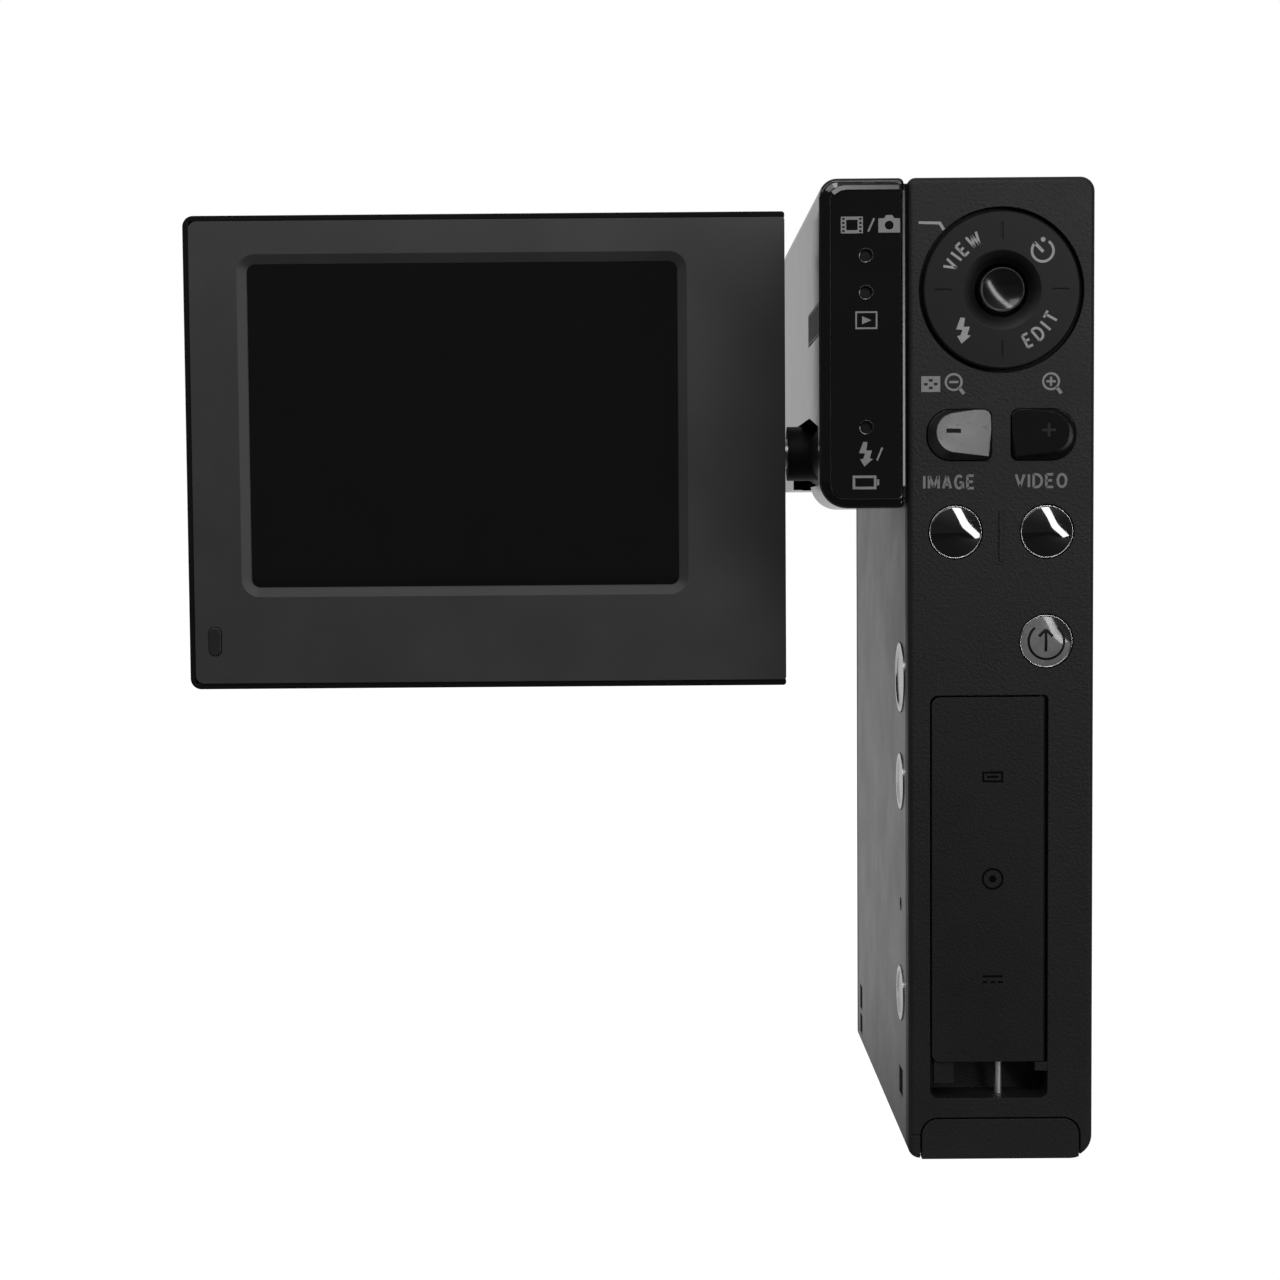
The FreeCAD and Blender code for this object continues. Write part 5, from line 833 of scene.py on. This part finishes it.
def studio_world():
    """White to the camera; to the object it is dark behind the camera and pale ahead and above."""
    world = bpy.data.worlds.new("studio_world")
    bpy.context.scene.world = world
    world.use_nodes = True
    tree = world.node_tree
    tree.nodes.clear()
    add, link = tree.nodes.new, tree.links.new
    coords = add("ShaderNodeTexCoord").outputs["Generated"]
    axes = add("ShaderNodeSeparateXYZ")
    link(coords, axes.inputs[0])
    ahead = ranged(tree, axes.outputs["Y"], -0.15, 0.55, 0.075, 0.5)
    up = ranged(tree, axes.outputs["Z"], 0.2, 0.9, 0.0, 0.25)
    total = add("ShaderNodeMath")
    link(ahead, total.inputs[0])
    link(up, total.inputs[1])
    seen, unseen = add("ShaderNodeBackground"), add("ShaderNodeBackground")
    link(total.outputs[0], unseen.inputs["Strength"])
    seen.inputs["Strength"].default_value = 1.0
    seen.inputs["Color"].default_value = (1.0, 1.0, 1.0, 1.0)
    unseen.inputs["Color"].default_value = (1.0, 1.0, 1.0, 1.0)
    mix = add("ShaderNodeMixShader")
    link(add("ShaderNodeLightPath").outputs["Is Camera Ray"], mix.inputs[0])
    link(unseen.outputs[0], mix.inputs[1])
    link(seen.outputs[0], mix.inputs[2])
    link(mix.outputs[0], add("ShaderNodeOutputWorld").inputs[0])


def ranged(tree, source, low, high, out_low, out_high):
    item = tree.nodes.new("ShaderNodeMapRange")
    item.interpolation_type = "SMOOTHSTEP"
    tree.links.new(source, item.inputs["Value"])
    for key, amount in zip(("From Min", "From Max", "To Min", "To Max"), (low, high, out_low, out_high)):
        item.inputs[key].default_value = amount
    return item.outputs["Result"]


def softbox(name, place, towards, along, size, power):
    """A rectangular light that faces a point, with its long side turned along a direction."""
    data = bpy.data.lights.new(name, "AREA")
    data.shape = "RECTANGLE"
    data.size, data.size_y = size[0] * MM, size[1] * MM
    data.energy = power
    lamp = bpy.data.objects.new(name, data)
    bpy.context.scene.collection.objects.link(lamp)
    back = (Vector(place) - Vector(towards)).normalized()
    up = back.cross(Vector(along)).normalized()
    side = up.cross(back)
    turn = Matrix((side, up, back)).transposed()
    lamp.matrix_world = Matrix.Translation(Vector(place) * MM) @ turn.to_4x4()
    lamp.visible_camera = False
    return lamp


def studio_floor():
    mesh = bpy.data.meshes.new("floor")
    side, level = 3.0, -0.0003
    mesh.from_pydata([(-side, -side, level), (side, -side, level), (side, side, level), (-side, side, level)], [], [(0, 1, 2, 3)])
    floor = bpy.data.objects.new("floor", mesh)
    bpy.context.scene.collection.objects.link(floor)
    r = Recipe("pale_sweep")
    grain = r.noise(1.5, 3.0)
    axes = r.add("ShaderNodeSeparateXYZ")
    r.link(r.place, axes.inputs[0])
    # for light reaching the object the floor is painted: dark near the camera (painted shade) and glowing ahead
    # (painted light); to the camera it is plain white
    ahead = r.spread(axes.outputs["Y"], -0.1, 0.05, 0.04, 1.0)
    shade = r.sum(ahead, r.spread(grain, 0.3, 0.7, 0.98, 1.0), "MULTIPLY")
    r.finish(
        Base_Color=r.tint((0.25, 0.25, 0.25), shade),
        Roughness=0.9,
        Normal=r.bump(grain, 0.01),
        Emission_Color=(1.0, 1.0, 1.0, 1.0),
        Emission_Strength=r.sum(ahead, 0.42, "MULTIPLY"),
    )
    glow = r.add("ShaderNodeEmission")
    glow.inputs["Strength"].default_value = 1.13
    mix = r.add("ShaderNodeMixShader")
    fade = r.sum(r.add("ShaderNodeLightPath").outputs["Is Camera Ray"], 0.88, "MULTIPLY")
    r.link(fade, mix.inputs[0])
    r.link(r.shader.outputs[0], mix.inputs[1])
    r.link(glow.outputs[0], mix.inputs[2])
    out = [item for item in r.tree.nodes if item.type == "OUTPUT_MATERIAL"][0]
    r.link(mix.outputs[0], out.inputs["Surface"])
    mesh.materials.append(r.material)


def studio():
    studio_camera()
    studio_world()
    studio_floor()
    softbox("strip", (109.3, -352.6, 208.0), (-5.0, -46.0, 69.5), (0.593, 0.08, -0.80), (520.0, 50.0), 0.665)
    softbox("rear_fill", (-189.0, -365.0, 328.0), (-20.0, -46.0, 60.0), (1.0, 0.0, 0.0), (300.0, 120.0), 0.36)
    softbox("fill", (-480.0, 160.0, 330.0), (-10.0, -20.0, 60.0), (0.0, 1.0, 0.0), (260.0, 200.0), 0.6)
    bpy.context.scene.view_settings.view_transform = "Standard"


dress_nodes()
selector_marks()
rear_marks()
panel_marks()
key_marks()
jack_marks()
light_rims()
key_domes()
stick_rim()
panel_edges()
share_sign()
speaker_hatch()
studio()
